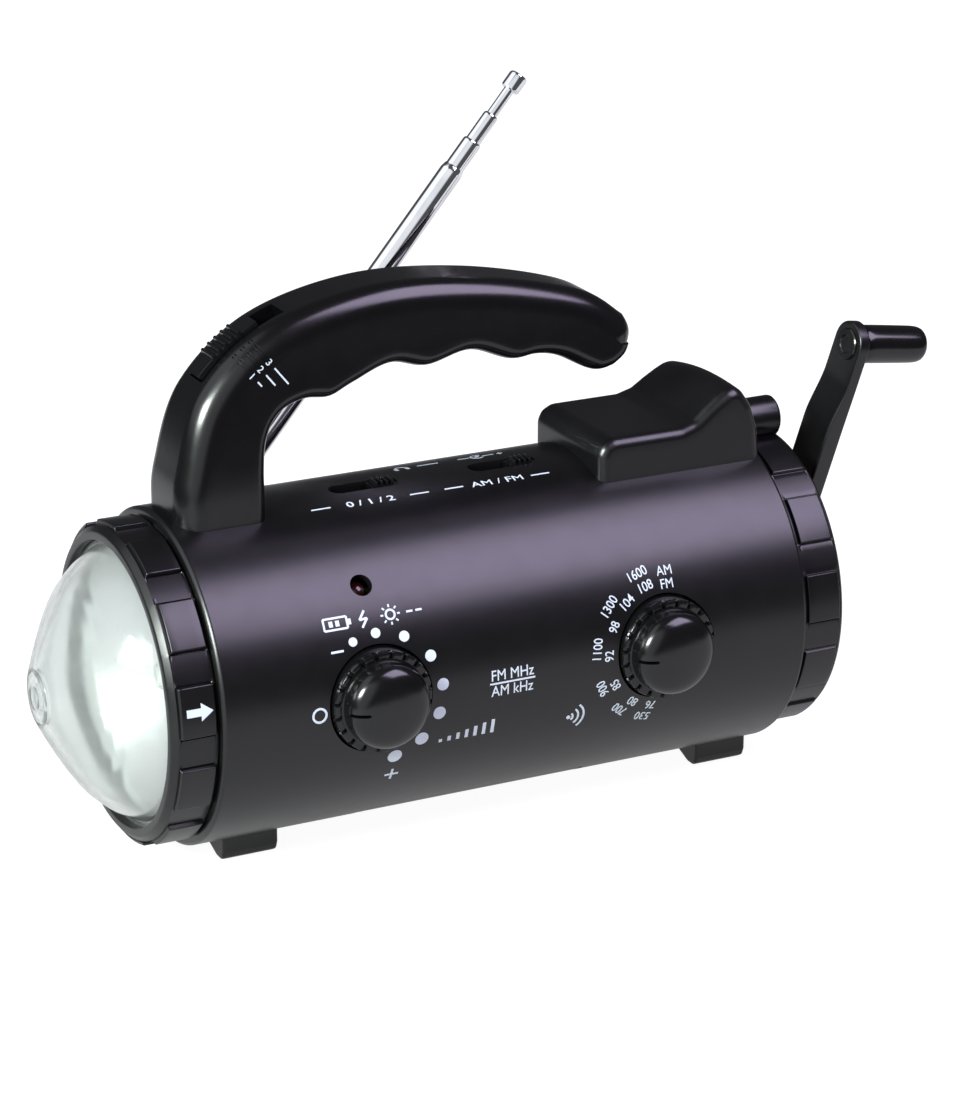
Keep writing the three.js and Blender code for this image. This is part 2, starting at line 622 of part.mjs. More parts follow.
// ---------------------------------------------------------------- crank
// Drawn upright: the arm along +Z from its hinge. Nested groups turn it.
function crankHub() {
  const seat = turned([
    [155.4, 0], [155.4, 4], [166.4, 4], [166.4, 9], [REAR_END, 9], [REAR_END, 0],
  ], 28);
  const x = CRANK_HINGE_X;
  const ears = [-1, 1].map((side) => {
    const y = side > 0 ? [3.2, 6.2] : [-6.2, -3.2];
    const root = block([REAR_END - 0.5, x], y, [-4, 4]);
    return union(root, bar([x, y[0], 0], [x, y[1], 0], 4, 20));
  });
  const hole = bar([x, -8, 0], [x, 8, 0], 1.5, 12);
  return meshOf('crank_shaft', without(union(seat, ...ears), hole), STEEL);
}

// Arm outline across its width: a tongue at the hinge and a round-ended blade.
function armOutline() {
  const half = 5.9;
  const top = sector([0, half], [0, 180], [0, CRANK_ARM + 1], 10).slice(0, 11);
  return [[2.9, 0], [2.9, 6], [half, 9], ...top, [-half, 9], [-2.9, 6], [-2.9, 0]];
}

function crankArm() {
  const blade = slabYZ(armOutline(), [CRANK_INNER, CRANK_OUTER]);
  const knuckle = bar([0, -2.9, 0], [0, 2.9, 0], 3.4, 20);
  const bossFace = CRANK_OUTER - CRANK_BOSS_THICK;
  const below = [
    [CRANK_INNER - 1, 42.5], [CRANK_INNER - 1, 80], [bossFace, 80], [bossFace, 57], [-1.8, 53.5],
    [-3.1, 46], [CRANK_INNER, 42.5],
  ];
  const root = [[CRANK_INNER - 1, -5], [CRANK_INNER - 1, 12], [-1.5, 4], [-1.5, -5]];
  const thin = solid(slabXZ(below, [-10, 10]));
  const pinHole = bar([0, -8, 0], [0, 8, 0], 1.5, 12);
  const axleHole = bar([-5, 0, CRANK_ARM], [5, 0, CRANK_ARM], 2.3, 14);
  const shaped = without(blade, thin, solid(slabXZ(root, [-10, 10])));
  return meshOf('crank_arm', without(shaped.add(knuckle), pinHole, axleHole), SATIN_BLACK);
}

function crankKnob() {
  const start = CRANK_OUTER + 0.4;
  const end = start + CRANK_KNOB_LENGTH;
  const r = CRANK_KNOB_R;
  const bore = start + 14;
  return meshOf('crank_knob', turned([
    [start, 2.3], [start, r - 0.5], [start + 0.6, r], [end - 1.6, r], [end - 0.5, r - 0.7], [end, r - 2],
    [end, 0], [bore, 0], [bore, 2.3], [start, 2.3],
  ], 28, [0, CRANK_ARM]), GLOSS_BLACK);
}

function crankGroup() {
  const turn = new THREE.Group();
  turn.rotation.x = radians(CRANK_TURN);
  const x = CRANK_HINGE_X;
  turn.add(crankHub());
  turn.add(meshOf('crank_hinge_pin', bar([x, -6.2, 0], [x, 6.2, 0], 1.2, 12), STEEL));
  const lean = new THREE.Group();
  lean.position.x = x;
  lean.rotation.y = radians(CRANK_LEAN);
  lean.add(crankArm(), crankKnob());
  const axle = bar([-2, 0, CRANK_ARM], [CRANK_OUTER + 13.8, 0, CRANK_ARM], 2, 12);
  lean.add(meshOf('crank_knob_axle', axle, STEEL));
  turn.add(lean);
  return turn;
}

// ---------------------------------------------------------------- antenna
function antennaBracket() {
  const [x, y, z] = ANTENNA_PIVOT;
  const face = y - ANTENNA_TUBE_R - 0.5;
  const boss = without(bar([x, 30, z], [x, face, z], 6, 24), barrelCore(SADDLE_R));
  const hole = bar([x, 30, z], [x, y, z], 1.5, 12);
  return meshOf('antenna_bracket', boss.subtract(hole), SATIN_BLACK);
}

function antennaPin() {
  const [x, y, z] = ANTENNA_PIVOT;
  const shank = bar([x, y - 4.4, z], [x, y + ANTENNA_TUBE_R + 0.8, z], 1.2, 12);
  const head = bar([x, y + ANTENNA_TUBE_R + GAP, z], [x, y + 4.3, z], 2.6, 16);
  return meshOf('antenna_pin', union(shank, head), CHROME);
}

// Drawn along +X from the pivot; its group raises it.
function antennaGroup() {
  const group = new THREE.Group();
  group.position.set(...ANTENNA_PIVOT);
  group.rotation.y = -radians(ANTENNA_RAISE);
  const half = ANTENNA_TUBE_R;
  const disc = bar([0, -half, 0], [0, half, 0], 4.3, 24);
  const neck = block([0, 8], [-half, half], [-2, 2]);
  const pinHole = bar([0, -5, 0], [0, 5, 0], 1.5, 12);
  const rod = bar([7, 0, 0], [ANTENNA_JOINTS[0], 0, 0], half);
  const bore = bar([10, 0, 0], [ANTENNA_JOINTS[0] + 1, 0, 0], half - ANTENNA_WALL);
  group.add(meshOf('antenna_tube', without(union(disc, neck, rod), pinHole, bore), CHROME));
  ANTENNA_RADII.forEach((radius, i) => {
    const start = 18 + 8 * i;
    const end = ANTENNA_JOINTS[i + 1];
    const last = i === ANTENNA_RADII.length - 1;
    const outer = bar([start, 0, 0], [end, 0, 0], radius);
    const tip = bar([end - 0.2, 0, 0], [ANTENNA_JOINTS[4], 0, 0], ANTENNA_TIP_R);
    const hollow = bar([start - 1, 0, 0], [end + 1, 0, 0], radius - ANTENNA_WALL);
    const piece = last ? outer.add(tip) : outer.subtract(hollow);
    group.add(meshOf(`antenna_section_${i + 2}`, piece, CHROME));
  });
  return group;
}

// ---------------------------------------------------------------- assembly
const radio = new THREE.Group();
radio.add(
  ...barrelShells(),
  ...handleShells(),
  bezel(),
  meshOf('lens_gasket', ring([-7, -5.6], [35, 36.8]), RUBBER),
  domeLens(),
  frontCollar(),
  reflector(),
  ...bulbPieces(),
  rearCap(),
  rearPost(),
  topHousing(),
  foot('front_foot', [10.5, 25]),
  foot('rear_foot', [142.5, 157]),
  knob('volume_knob', VOLUME_X),
  knob('tuning_knob', TUNING_X),
  knobShaft('volume_shaft', VOLUME_X),
  knobShaft('tuning_shaft', TUNING_X),
  topSlider('power_slider', TOP_SWITCHES.power),
  topSlider('band_slider', TOP_SWITCHES.band),
  topSwitch('power_switch', TOP_SWITCHES.power),
  topSwitch('band_switch', TOP_SWITCHES.band),
  modeSlider(),
  modeSwitch(),
  ...electrics(),
  ...batteries(),
  ...gearbox(),
  crankGroup(),
  antennaBracket(),
  antennaPin(),
  antennaGroup(),
);
radio.position.set(-ORIGIN_X, 0, AXIS_HEIGHT);
radio.updateMatrixWorld(true);

export default radio;
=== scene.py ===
"""Hand-crank emergency radio and torch: the visual model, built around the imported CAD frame.

Lengths are millimetres in the barrel's own frame: X = 0 at the barrel's front edge and
growing towards the crank, -Y towards the knobs, Z = 0 on the barrel's axis. Angles round
the barrel are degrees from its top towards the knob side.
"""
import json
import math
import bmesh
import bpy
from mathutils import Matrix, Vector


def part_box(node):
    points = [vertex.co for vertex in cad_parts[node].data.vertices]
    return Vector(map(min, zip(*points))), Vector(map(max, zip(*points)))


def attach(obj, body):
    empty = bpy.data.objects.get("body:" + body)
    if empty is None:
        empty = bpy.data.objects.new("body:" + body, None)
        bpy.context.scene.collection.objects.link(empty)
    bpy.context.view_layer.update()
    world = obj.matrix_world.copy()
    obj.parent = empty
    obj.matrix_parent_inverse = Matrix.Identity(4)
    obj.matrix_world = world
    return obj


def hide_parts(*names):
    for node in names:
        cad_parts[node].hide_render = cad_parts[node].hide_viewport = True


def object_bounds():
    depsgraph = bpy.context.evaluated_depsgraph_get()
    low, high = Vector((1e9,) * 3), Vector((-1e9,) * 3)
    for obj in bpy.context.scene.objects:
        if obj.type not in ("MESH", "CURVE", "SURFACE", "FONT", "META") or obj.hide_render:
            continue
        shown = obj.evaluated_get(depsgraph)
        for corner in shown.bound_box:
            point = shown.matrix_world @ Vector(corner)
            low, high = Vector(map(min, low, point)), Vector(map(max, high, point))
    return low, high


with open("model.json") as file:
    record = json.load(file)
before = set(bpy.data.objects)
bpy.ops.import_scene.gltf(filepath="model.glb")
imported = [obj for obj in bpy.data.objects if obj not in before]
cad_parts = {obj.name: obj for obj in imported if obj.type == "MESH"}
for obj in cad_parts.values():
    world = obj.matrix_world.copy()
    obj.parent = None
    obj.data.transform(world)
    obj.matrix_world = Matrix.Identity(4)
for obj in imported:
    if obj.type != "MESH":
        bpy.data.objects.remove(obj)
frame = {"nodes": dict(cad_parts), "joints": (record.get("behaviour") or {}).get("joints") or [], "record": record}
CAD_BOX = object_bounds()
JOINTS = {joint["name"]: joint for joint in frame["joints"]}

MM = 0.001
near_low, near_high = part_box("barrel_shell_near")
DATUM = Vector((near_low.x, 0.0, (near_low.z + near_high.z) / 2))
BARREL_R = -near_low.y / MM
BARREL_LENGTH = (near_high.x - near_low.x) / MM
BARREL_BORE = BARREL_R - 2.4


def from_row(point):
    return (Vector(point) - DATUM) / MM


def mm_box(node):
    low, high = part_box(node)
    return from_row(low), from_row(high)


def middle(node):
    low, high = mm_box(node)
    return (low + high) / 2


# ---------------------------------------------------------------- outlines
def fillet(points, radius, steps=4):
    """An open polyline with its corners rounded."""
    out = [Vector(points[0])]
    for before, at, after in zip(points, points[1:], points[2:]):
        corner = Vector(at)
        a, b = Vector(before) - corner, Vector(after) - corner
        half = a.angle(b) / 2
        if half > 1.5:
            out.append(corner)
            continue
        reach = min(radius / math.tan(half), 0.48 * a.length, 0.48 * b.length)
        start, end = corner + a.normalized() * reach, corner + b.normalized() * reach
        for k in range(steps + 1):
            t = k / steps
            out.append(start * (1 - t) ** 2 + corner * 2 * t * (1 - t) + end * t * t)
    out.append(Vector(points[-1]))
    return out


def resample(points, count):
    """Evenly spaced points along a polyline."""
    points = [Vector(p) for p in points]
    lengths = [0.0]
    for a, b in zip(points, points[1:]):
        lengths.append(lengths[-1] + (b - a).length)
    out, i = [], 0
    for k in range(count):
        want = lengths[-1] * k / (count - 1)
        while i < len(points) - 2 and lengths[i + 1] < want:
            i += 1
        span = lengths[i + 1] - lengths[i]
        out.append(points[i].lerp(points[i + 1], (want - lengths[i]) / span))
    return out


def spline(points, count, fine=16):
    """Evenly spaced points on a Catmull-Rom curve through the given points."""
    knots = [Vector(p) for p in [points[0], *points, points[-1]]]
    dense = []
    for p0, p1, p2, p3 in zip(knots, knots[1:], knots[2:], knots[3:]):
        for k in range(fine):
            t = k / fine
            dense.append(0.5 * (2 * p1 + (p2 - p0) * t + (2 * p0 - 5 * p1 + 4 * p2 - p3) * t * t
                                + (3 * p1 - p0 - 3 * p2 + p3) * t ** 3))
    dense.append(knots[-1])
    return resample(dense, count)


def inward(outline):
    """Vectors that move a closed outline in by one unit of length."""
    n = len(outline)
    area = sum(outline[i - 1].cross(outline[i]) for i in range(n))
    side = 1 if area > 0 else -1
    edges = [(outline[(i + 1) % n] - outline[i]).normalized() for i in range(n)]
    out = []
    for i in range(n):
        a, b = edges[i - 1], edges[i]
        mean = Vector((-(a.y + b.y), a.x + b.x)) * side
        mean.normalize()
        lean = max(0.5, mean.dot(Vector((-b.y, b.x)) * side))
        out.append(mean / lean)
    return out


def circle(radius, count=32, centre=(0, 0)):
    turn = [2 * math.pi * i / count for i in range(count)]
    return [Vector((centre[0] + radius * math.cos(a), centre[1] + radius * math.sin(a))) for a in turn]


# ---------------------------------------------------------------- solids, as (points, faces)
def join(*solids):
    points, faces = [], []
    for more, those in solids:
        shift = len(points)
        points += more
        faces += [[i + shift for i in face] for face in those]
    return points, faces


def moved(solid, matrix):
    return [matrix @ Vector(p) for p in solid[0]], solid[1]


def lathe(profile, count=96, vary=None):
    """A closed surface turned about X, from (x, r) points. vary(i, angle) may return another (x, r)."""
    wraps = (Vector(profile[0]) - Vector(profile[-1])).length < 1e-6
    profile = profile[:-1] if wraps else profile
    points, rings = [], []
    for i, (x, r) in enumerate(profile):
        ring = []
        for k in range(count if r > 1e-6 else 1):
            angle = 2 * math.pi * k / count
            u, v = vary(i, angle) if vary and r > 1e-6 else (x, r)
            ring.append(len(points))
            points.append(Vector((u, v * math.sin(angle), v * math.cos(angle))))
        rings.append(ring)
    pairs = list(zip(rings, rings[1:])) + ([(rings[-1], rings[0])] if wraps else [])
    faces = []
    for a, b in pairs:
        for k in range(count):
            n = (k + 1) % count
            if len(a) == 1:
                faces.append([a[0], b[n], b[k]])
            elif len(b) == 1:
                faces.append([a[k], a[n], b[0]])
            else:
                faces.append([a[k], a[n], b[n], b[k]])
    return points, faces


def plate(left, right, low, high, edge, to3d, cross=1, belt=1, steps=4, reach=None, right_share=1.0):
    """A slab with rounded rims. Its outline runs along left and back along right, and its two
    faces are nets of lines from each left point to its right point. The rims are as deep as edge
    and reach that far, or as far as reach, over the thickness; on the right they may be shallower."""
    outline = [Vector(p) for p in left] + [Vector(p) for p in reversed(right)]
    n, m = len(outline), len(left)
    normals = [q * (1.0 if i < m else right_share) for i, q in enumerate(inward(outline))]
    curve = [k / steps * math.pi / 2 for k in range(steps + 1)] if edge else [math.pi / 2]
    reach = reach or edge
    start = [(edge * (1 - math.sin(a)), low + reach * (1 - math.cos(a))) for a in curve]
    end = [(inset, high - (level - low)) for inset, level in reversed(start)]
    inner = [(0, start[-1][1] + (end[0][1] - start[-1][1]) * k / belt) for k in range(1, belt)]
    points, faces = [], []
    levels = start + inner + end
    for inset, w in levels:
        points += [to3d(*(p + q * inset), w) for p, q in zip(outline, normals)]
    for k in range(len(levels) - 1):
        for i in range(n):
            j = (i + 1) % n
            faces.append([k * n + i, k * n + j, (k + 1) * n + j, (k + 1) * n + i])
    for k, (inset, w) in ((0, levels[0]), (len(levels) - 1, levels[-1])):
        rows = []
        for i in range(m):
            a, b = k * n + i, k * n + n - 1 - i
            pa, pb = (outline[j] + normals[j] * inset for j in (i, n - 1 - i))
            row = [a]
            if 0 < i < m - 1:
                for c in range(1, cross):
                    row.append(len(points))
                    points.append(to3d(*pa.lerp(pb, c / cross), w))
            rows.append(row + [b])
        for a, b in zip(rows, rows[1:]):
            if len(a) == len(b):
                faces += [[a[c], a[c + 1], b[c + 1], b[c]] for c in range(len(a) - 1)]
            else:
                faces.append(a + b[::-1])
    return points, faces


def prism(outline, low, high, to3d):
    """A flat-ended solid on any outline."""
    n = len(outline)
    points = [to3d(*p, low) for p in outline] + [to3d(*p, high) for p in outline]
    sides = [[i, (i + 1) % n, n + (i + 1) % n, n + i] for i in range(n)]
    return points, sides + [list(range(n)), list(range(2 * n - 1, n - 1, -1))]


def along_x(u, v, w):
    return Vector((w, u, v))


def along_y(u, v, w):
    return Vector((u, w, v))


def wrapped(u, v, w):
    """u along X, v up round the barrel from its near side's middle, w out from its surface."""
    angle = math.pi / 2 - v / BARREL_R
    r = BARREL_R + w
    return Vector((u, -r * math.sin(angle), r * math.cos(angle)))


def around(degrees):
    """The v of wrapped() at an angle from the top towards the knob side."""
    return BARREL_R * math.radians(90 - degrees)


# ---------------------------------------------------------------- objects
def build(name, solid):
    points, faces = solid
    mesh = bpy.data.meshes.new(name)
    mesh.from_pydata([DATUM + Vector(p) * MM for p in points], [], faces)
    body = bmesh.new()
    body.from_mesh(mesh)
    bmesh.ops.remove_doubles(body, verts=body.verts, dist=1e-7)
    bmesh.ops.recalc_face_normals(body, faces=body.faces)
    body.to_mesh(mesh)
    body.free()
    obj = bpy.data.objects.new(name, mesh)
    bpy.context.scene.collection.objects.link(obj)
    return obj


def cut(obj, *solids):
    """Takes solids away from an object, for good."""
    tools = []
    for solid in solids:
        tool = build("cutter", solid)
        tools.append(tool)
        change = obj.modifiers.new("cut", "BOOLEAN")
        change.operation = "DIFFERENCE"
        change.solver = "EXACT"
        change.object = tool
    graph = bpy.context.evaluated_depsgraph_get()
    mesh = bpy.data.meshes.new_from_object(obj.evaluated_get(graph))
    obj.modifiers.clear()
    obj.data = mesh
    body = bmesh.new()
    body.from_mesh(mesh)
    bmesh.ops.dissolve_degenerate(body, dist=1e-7, edges=body.edges)
    rim = {vert for edge in body.edges if len(edge.link_faces) == 1 for vert in edge.verts}
    bmesh.ops.remove_doubles(body, verts=sorted(rim, key=lambda vert: vert.index), dist=2e-4)
    body.to_mesh(mesh)
    body.free()
    for tool in tools:
        bpy.data.objects.remove(tool)
    return obj


def soften(obj, chosen, width, segments=2):
    """Bevels the edges for which chosen(edge) holds; width is in mm."""
    body = bmesh.new()
    body.from_mesh(obj.data)
    bmesh.ops.remove_doubles(body, verts=body.verts, dist=1e-6)
    edges = [e for e in body.edges if len(e.link_faces) == 2 and chosen(e)]
    bmesh.ops.bevel(body, geom=edges, offset=width * MM, segments=segments, affect="EDGES",
                    profile=0.5, clamp_overlap=True)
    body.to_mesh(obj.data)
    body.free()
    return obj


def finish(obj, slot, body, *nodes, angle=32, weighted=True, material=None):
    """Smooth shading, the slot's material, the body it rides on and the CAD nodes it stands for."""
    mesh = obj.data
    mesh.materials.clear()
    mesh.materials.append(material or MATERIALS[slot])
    for face in mesh.polygons:
        face.use_smooth = True
        face.material_index = 0
    mesh.set_sharp_from_angle(angle=math.radians(angle))
    if weighted:
        shade = obj.modifiers.new("shade", "WEIGHTED_NORMAL")
        shade.keep_sharp = True
    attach(obj, body)
    if nodes:
        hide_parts(*nodes)
    return obj


# ---------------------------------------------------------------- materials
class Nodes:
    """A material's node tree with object coordinates in millimetres at hand."""

    def __init__(self, name):
        self.material = bpy.data.materials.new(name)
        self.material.use_nodes = True
        self.tree = self.material.node_tree
        self.tree.nodes.clear()
        self.output = self.add("ShaderNodeOutputMaterial")
        self.place = self.add("ShaderNodeTexCoord").outputs["Object"]

    def add(self, kind, **settings):
        node = self.tree.nodes.new(kind)
        for key, value in settings.items():
            setattr(node, key, value)
        return node

    def link(self, source, target):
        self.tree.links.new(source, target)

    def stretched(self, scale):
        node = self.add("ShaderNodeMapping")
        node.inputs["Scale"].default_value = scale
        self.link(self.place, node.inputs["Vector"])
        return node.outputs["Vector"]

    def noise(self, size, detail=2.0, place=None):
        """Noise between 0 and 1 whose features are about size mm."""
        node = self.add("ShaderNodeTexNoise")
        node.inputs["Scale"].default_value = 1 / (size * MM)
        node.inputs["Detail"].default_value = detail
        self.link(place or self.place, node.inputs["Vector"])
        return node.outputs["Fac"]

    def cells(self, size):
        node = self.add("ShaderNodeTexVoronoi")
        node.inputs["Scale"].default_value = 1 / (size * MM)
        self.link(self.place, node.inputs["Vector"])
        return node.outputs["Distance"]

    def spread(self, value, low, high, start=0.3, end=0.7):
        node = self.add("ShaderNodeMapRange")
        for key, number in zip(("From Min", "From Max", "To Min", "To Max"), (start, end, low, high)):
            node.inputs[key].default_value = number
        self.link(value, node.inputs["Value"])
        return node.outputs["Result"]

    def between(self, value, first, second):
        node = self.add("ShaderNodeMix", data_type="RGBA")
        node.inputs[6].default_value = (*first, 1)
        node.inputs[7].default_value = (*second, 1)
        self.link(value, node.inputs[0])
        return node.outputs[2]

    def bump(self, value, strength, depth, below=None):
        """depth is in mm."""
        node = self.add("ShaderNodeBump")
        node.inputs["Strength"].default_value = strength
        node.inputs["Distance"].default_value = depth * MM
        self.link(value, node.inputs["Height"])
        if below:
            self.link(below, node.inputs["Normal"])
        return node.outputs["Normal"]

    def principled(self, **settings):
        node = self.add("ShaderNodeBsdfPrincipled")
        for key, value in settings.items():
            node.inputs[key.replace("_", " ")].default_value = value
        self.link(node.outputs["BSDF"], self.output.inputs["Surface"])
        return node


def tone(colour, factor):
    return tuple(min(1.0, c * factor) for c in colour)


def moulded(name, colour, roughness, grain=0.35, depth=0.01, mottle=0.1, spread=0.015, **more):
    """Moulded plastic: fine tool grain, faint mottling and slightly uneven gloss."""
    n = Nodes(name)
    shader = n.principled(Roughness=roughness, **more)
    cloud = n.noise(18, 3)
    n.link(n.between(n.spread(cloud, 0, 1), tone(colour, 1 - mottle), tone(colour, 1 + mottle)),
           shader.inputs["Base Color"])
    n.link(n.spread(n.noise(5, 4), roughness - spread, roughness + spread), shader.inputs["Roughness"])
    n.link(n.bump(n.noise(grain, 2), 0.5, depth), shader.inputs["Normal"])
    return n.material


def metal(name, colour, roughness, brushed=(1, 1, 1), size=1.5, spread=0.06, depth=0.004):
    """Bare or plated metal with fine drawn lines and faint smudges."""
    n = Nodes(name)
    shader = n.principled(Metallic=1.0, Roughness=roughness)
    lines = n.noise(size, 3, n.stretched(brushed))
    n.link(n.between(n.spread(n.noise(7, 3), 0, 1), tone(colour, 0.9), tone(colour, 1.06)),
           shader.inputs["Base Color"])
    n.link(n.spread(lines, max(0.02, roughness - spread), roughness + spread), shader.inputs["Roughness"])
    n.link(n.bump(lines, 0.4, depth), shader.inputs["Normal"])
    return n.material


def banded(name, base, band, edge, low, high, roughness=0.25):
    """A shrink-wrapped label: one colour with a second one between two X values in mm."""
    n = Nodes(name)
    shader = n.principled(Roughness=roughness)
    split = n.add("ShaderNodeSeparateXYZ")
    n.link(n.place, split.inputs[0])
    start = n.spread(split.outputs[0], 0, 1, low * MM, (low + edge) * MM)
    end = n.spread(split.outputs[0], 1, 0, (high - edge) * MM, high * MM)
    both = n.add("ShaderNodeMath", operation="MULTIPLY")
    n.link(start, both.inputs[0])
    n.link(end, both.inputs[1])
    n.link(n.between(both.outputs[0], base, band), shader.inputs["Base Color"])
    n.link(n.bump(n.noise(2.5, 3), 0.3, 0.05), shader.inputs["Normal"])
    return n.material


def board(name):
    """Solder-masked circuit board: copper runs under green, with bright pads."""
    n = Nodes(name)
    shader = n.principled(Roughness=0.32)
    runs = n.add("ShaderNodeTexBrick")
    runs.inputs["Scale"].default_value = 90
    runs.inputs["Mortar Size"].default_value = 0.02
    runs.inputs["Color1"].default_value = (0.012, 0.10, 0.035, 1)
    runs.inputs["Color2"].default_value = (0.015, 0.13, 0.045, 1)
    runs.inputs["Mortar"].default_value = (0.03, 0.22, 0.08, 1)
    turn = n.add("ShaderNodeMapping")
    turn.inputs["Rotation"].default_value = (math.radians(90), 0, 0)
    n.link(n.place, turn.inputs["Vector"])
    n.link(turn.outputs["Vector"], runs.inputs["Vector"])
    n.link(runs.outputs["Color"], shader.inputs["Base Color"])
    n.link(n.bump(runs.outputs["Fac"], 0.3, 0.03), shader.inputs["Normal"])
    return n.material


def clear_dome(name):
    """Clear moulded plastic with the faintest ripple of its mould."""
    n = Nodes(name)
    shader = n.principled(Roughness=0.08, Base_Color=(0.94, 0.965, 0.955, 1), Transmission_Weight=0.94, IOR=1.45)
    n.link(n.spread(n.noise(6, 2), 0.07, 0.13), shader.inputs["Roughness"])
    n.link(n.bump(n.noise(1.1, 2), 0.2, 0.02), shader.inputs["Normal"])
    return n.material


def stippled_mirror(name):
    """Vacuum-plated plastic with a cast stipple that scatters the lamp's beam."""
    n = Nodes(name)
    shader = n.principled(Metallic=1.0, Roughness=0.3)
    n.link(n.between(n.noise(6, 2), (0.70, 0.72, 0.72), (0.80, 0.82, 0.82)), shader.inputs["Base Color"])
    n.link(n.bump(n.cells(0.9), 0.7, 0.25), shader.inputs["Normal"])
    return n.material


def glass(name, colour, roughness):
    n = Nodes(name)
    shader = n.principled(Roughness=roughness, Base_Color=(*colour, 1), Transmission_Weight=0.85)
    n.link(n.bump(n.noise(2, 2), 0.2, 0.03), shader.inputs["Normal"])
    return n.material


BLACK = (0.0022, 0.0021, 0.0024)
MATERIALS = {
    "satin_black_plastic": moulded("satin_black", BLACK, 0.31),
    "gloss_black_plastic": moulded("gloss_black", (0.003, 0.003, 0.0032), 0.19, grain=0.9, depth=0.003),
    "dark_grey_plastic": moulded("dark_grey", (0.022, 0.022, 0.023), 0.5, grain=0.5, depth=0.03),
    "clear_plastic": clear_dome("dome_plastic"),
    "bulb_glass": glass("bulb_glass", (0.97, 0.97, 0.95), 0.03),
    "mirror_coat": stippled_mirror("mirror_coat"),
    "chrome_plate": metal("chrome", (0.93, 0.94, 0.95), 0.07, size=6, spread=0.015, depth=0.0003),
    "steel": metal("steel", (0.45, 0.45, 0.46), 0.32, brushed=(1, 6, 6)),
    "brass": metal("brass", (0.68, 0.50, 0.22), 0.25, brushed=(1, 5, 5)),
    "rubber": moulded("rubber", (0.012, 0.012, 0.012), 0.75, grain=0.25, depth=0.03),
    "circuit_board": board("circuit_board"),
    "white_nylon": moulded("white_nylon", (0.72, 0.69, 0.62), 0.42, Subsurface_Weight=0.1,
                           Subsurface_Radius=(0.002, 0.002, 0.0015)),
    "cell_wrap": banded("cell_wrap", (0.02, 0.025, 0.03), (0.05, 0.17, 0.34), 0.3, -36, -8),
    "pack_wrap": banded("pack_wrap", (0.03, 0.30, 0.12), (0.5, 0.52, 0.5), 0.3, -28, -20),
    "red_lens": moulded("red_lens", (0.02, 0.002, 0.002), 0.12, grain=0.8, depth=0.003, mottle=0.2),
}
HANDLE_SATIN = moulded("handle_satin", BLACK, 0.22)
PRINT = moulded("white_print", (0.54, 0.59, 0.66), 0.45, grain=0.3, depth=0.006, mottle=0.04)

for part in frame["record"]["subparts"]:
    node = frame["nodes"][part["node"]]
    node.data.materials.clear()
    node.data.materials.append(MATERIALS[part["material_slot"]])


# ---------------------------------------------------------------- barrel
KNOB_HOLE_R = 13.4
SLIDE_TRAVEL = 10
SLIDE_SLOT_HALF = 2.6
RADIAL_HOLES = (("charge_led", 2.75), ("dc_jack", 4.6), ("phone_jack", 3.9))  # radii
GRILLE_PITCH, GRILLE_SLOT, GRILLE_HALF = 6, 1.2, 12.8
FLUSH = 0.25  # pieces that stand on the barrel start this far inside its skin


def span(centre, length, half, z0=36.0, z1=46.0):
    """A slot cutter along X with round ends, cut down through the top."""
    ends = [centre - length / 2, centre + length / 2]
    y = middle("power_slider").y
    left = [Vector((ends[0] + half * (1 - math.cos(a)), y - half * math.sin(a)))
            for a in [k * math.pi / 16 for k in range(9)]]
    outline = left + [Vector((ends[0] + ends[1] - p.x, p.y)) for p in reversed(left)]
    outline += [Vector((p.x, 2 * y - p.y)) for p in reversed(outline[1:-1])]
    return prism(outline, z0, z1, lambda u, v, w: Vector((u, v, w)))


def drilled(x, y0, y1, radius, z=0.0, count=96):
    return prism(circle(radius, count, (x, z)), y0, y1, along_y)


def radial_hole(x, degrees, radius, inner=34.0, outer=46.0):
    turn = Matrix.Translation((x, 0, 0)) @ Matrix.Rotation(math.radians(degrees), 4, "X")
    return moved(prism(circle(radius, 40), inner, outer, lambda u, v, w: Vector((u, v, w))), turn)


def door_outline(clearance, corner=2.5):
    low, high = mm_box("battery_door")
    half = math.asin(high.y / BARREL_R) * BARREL_R
    x0, x1, v = low.x - 0.5 + clearance, high.x + 0.5 - clearance, half + 0.36 - clearance
    near = fillet([(x0, 0.3), (x0, v), ((x0 + x1) / 2, v), (x1, v), (x1, 0.3)], corner)
    near = resample(near, 70)
    return near, [Vector((p.x, -p.y)) for p in near]


def below(u, v, w):
    """u along X, v round the underside from its lowest line, w as radius."""
    angle = v / BARREL_R
    return Vector((u, w * math.sin(angle), -w * math.cos(angle)))


def barrel_core(start, end):
    """The barrel's inside between two X values, to be cut from what stands on it."""
    return [(start, 0), (start, BARREL_R - FLUSH), (end, BARREL_R - FLUSH), (end, 0)]


def direction_of(node):
    """Degrees from the top towards the knob side at which a node sits."""
    at = middle(node)
    return math.degrees(math.atan2(-at.y, at.z))


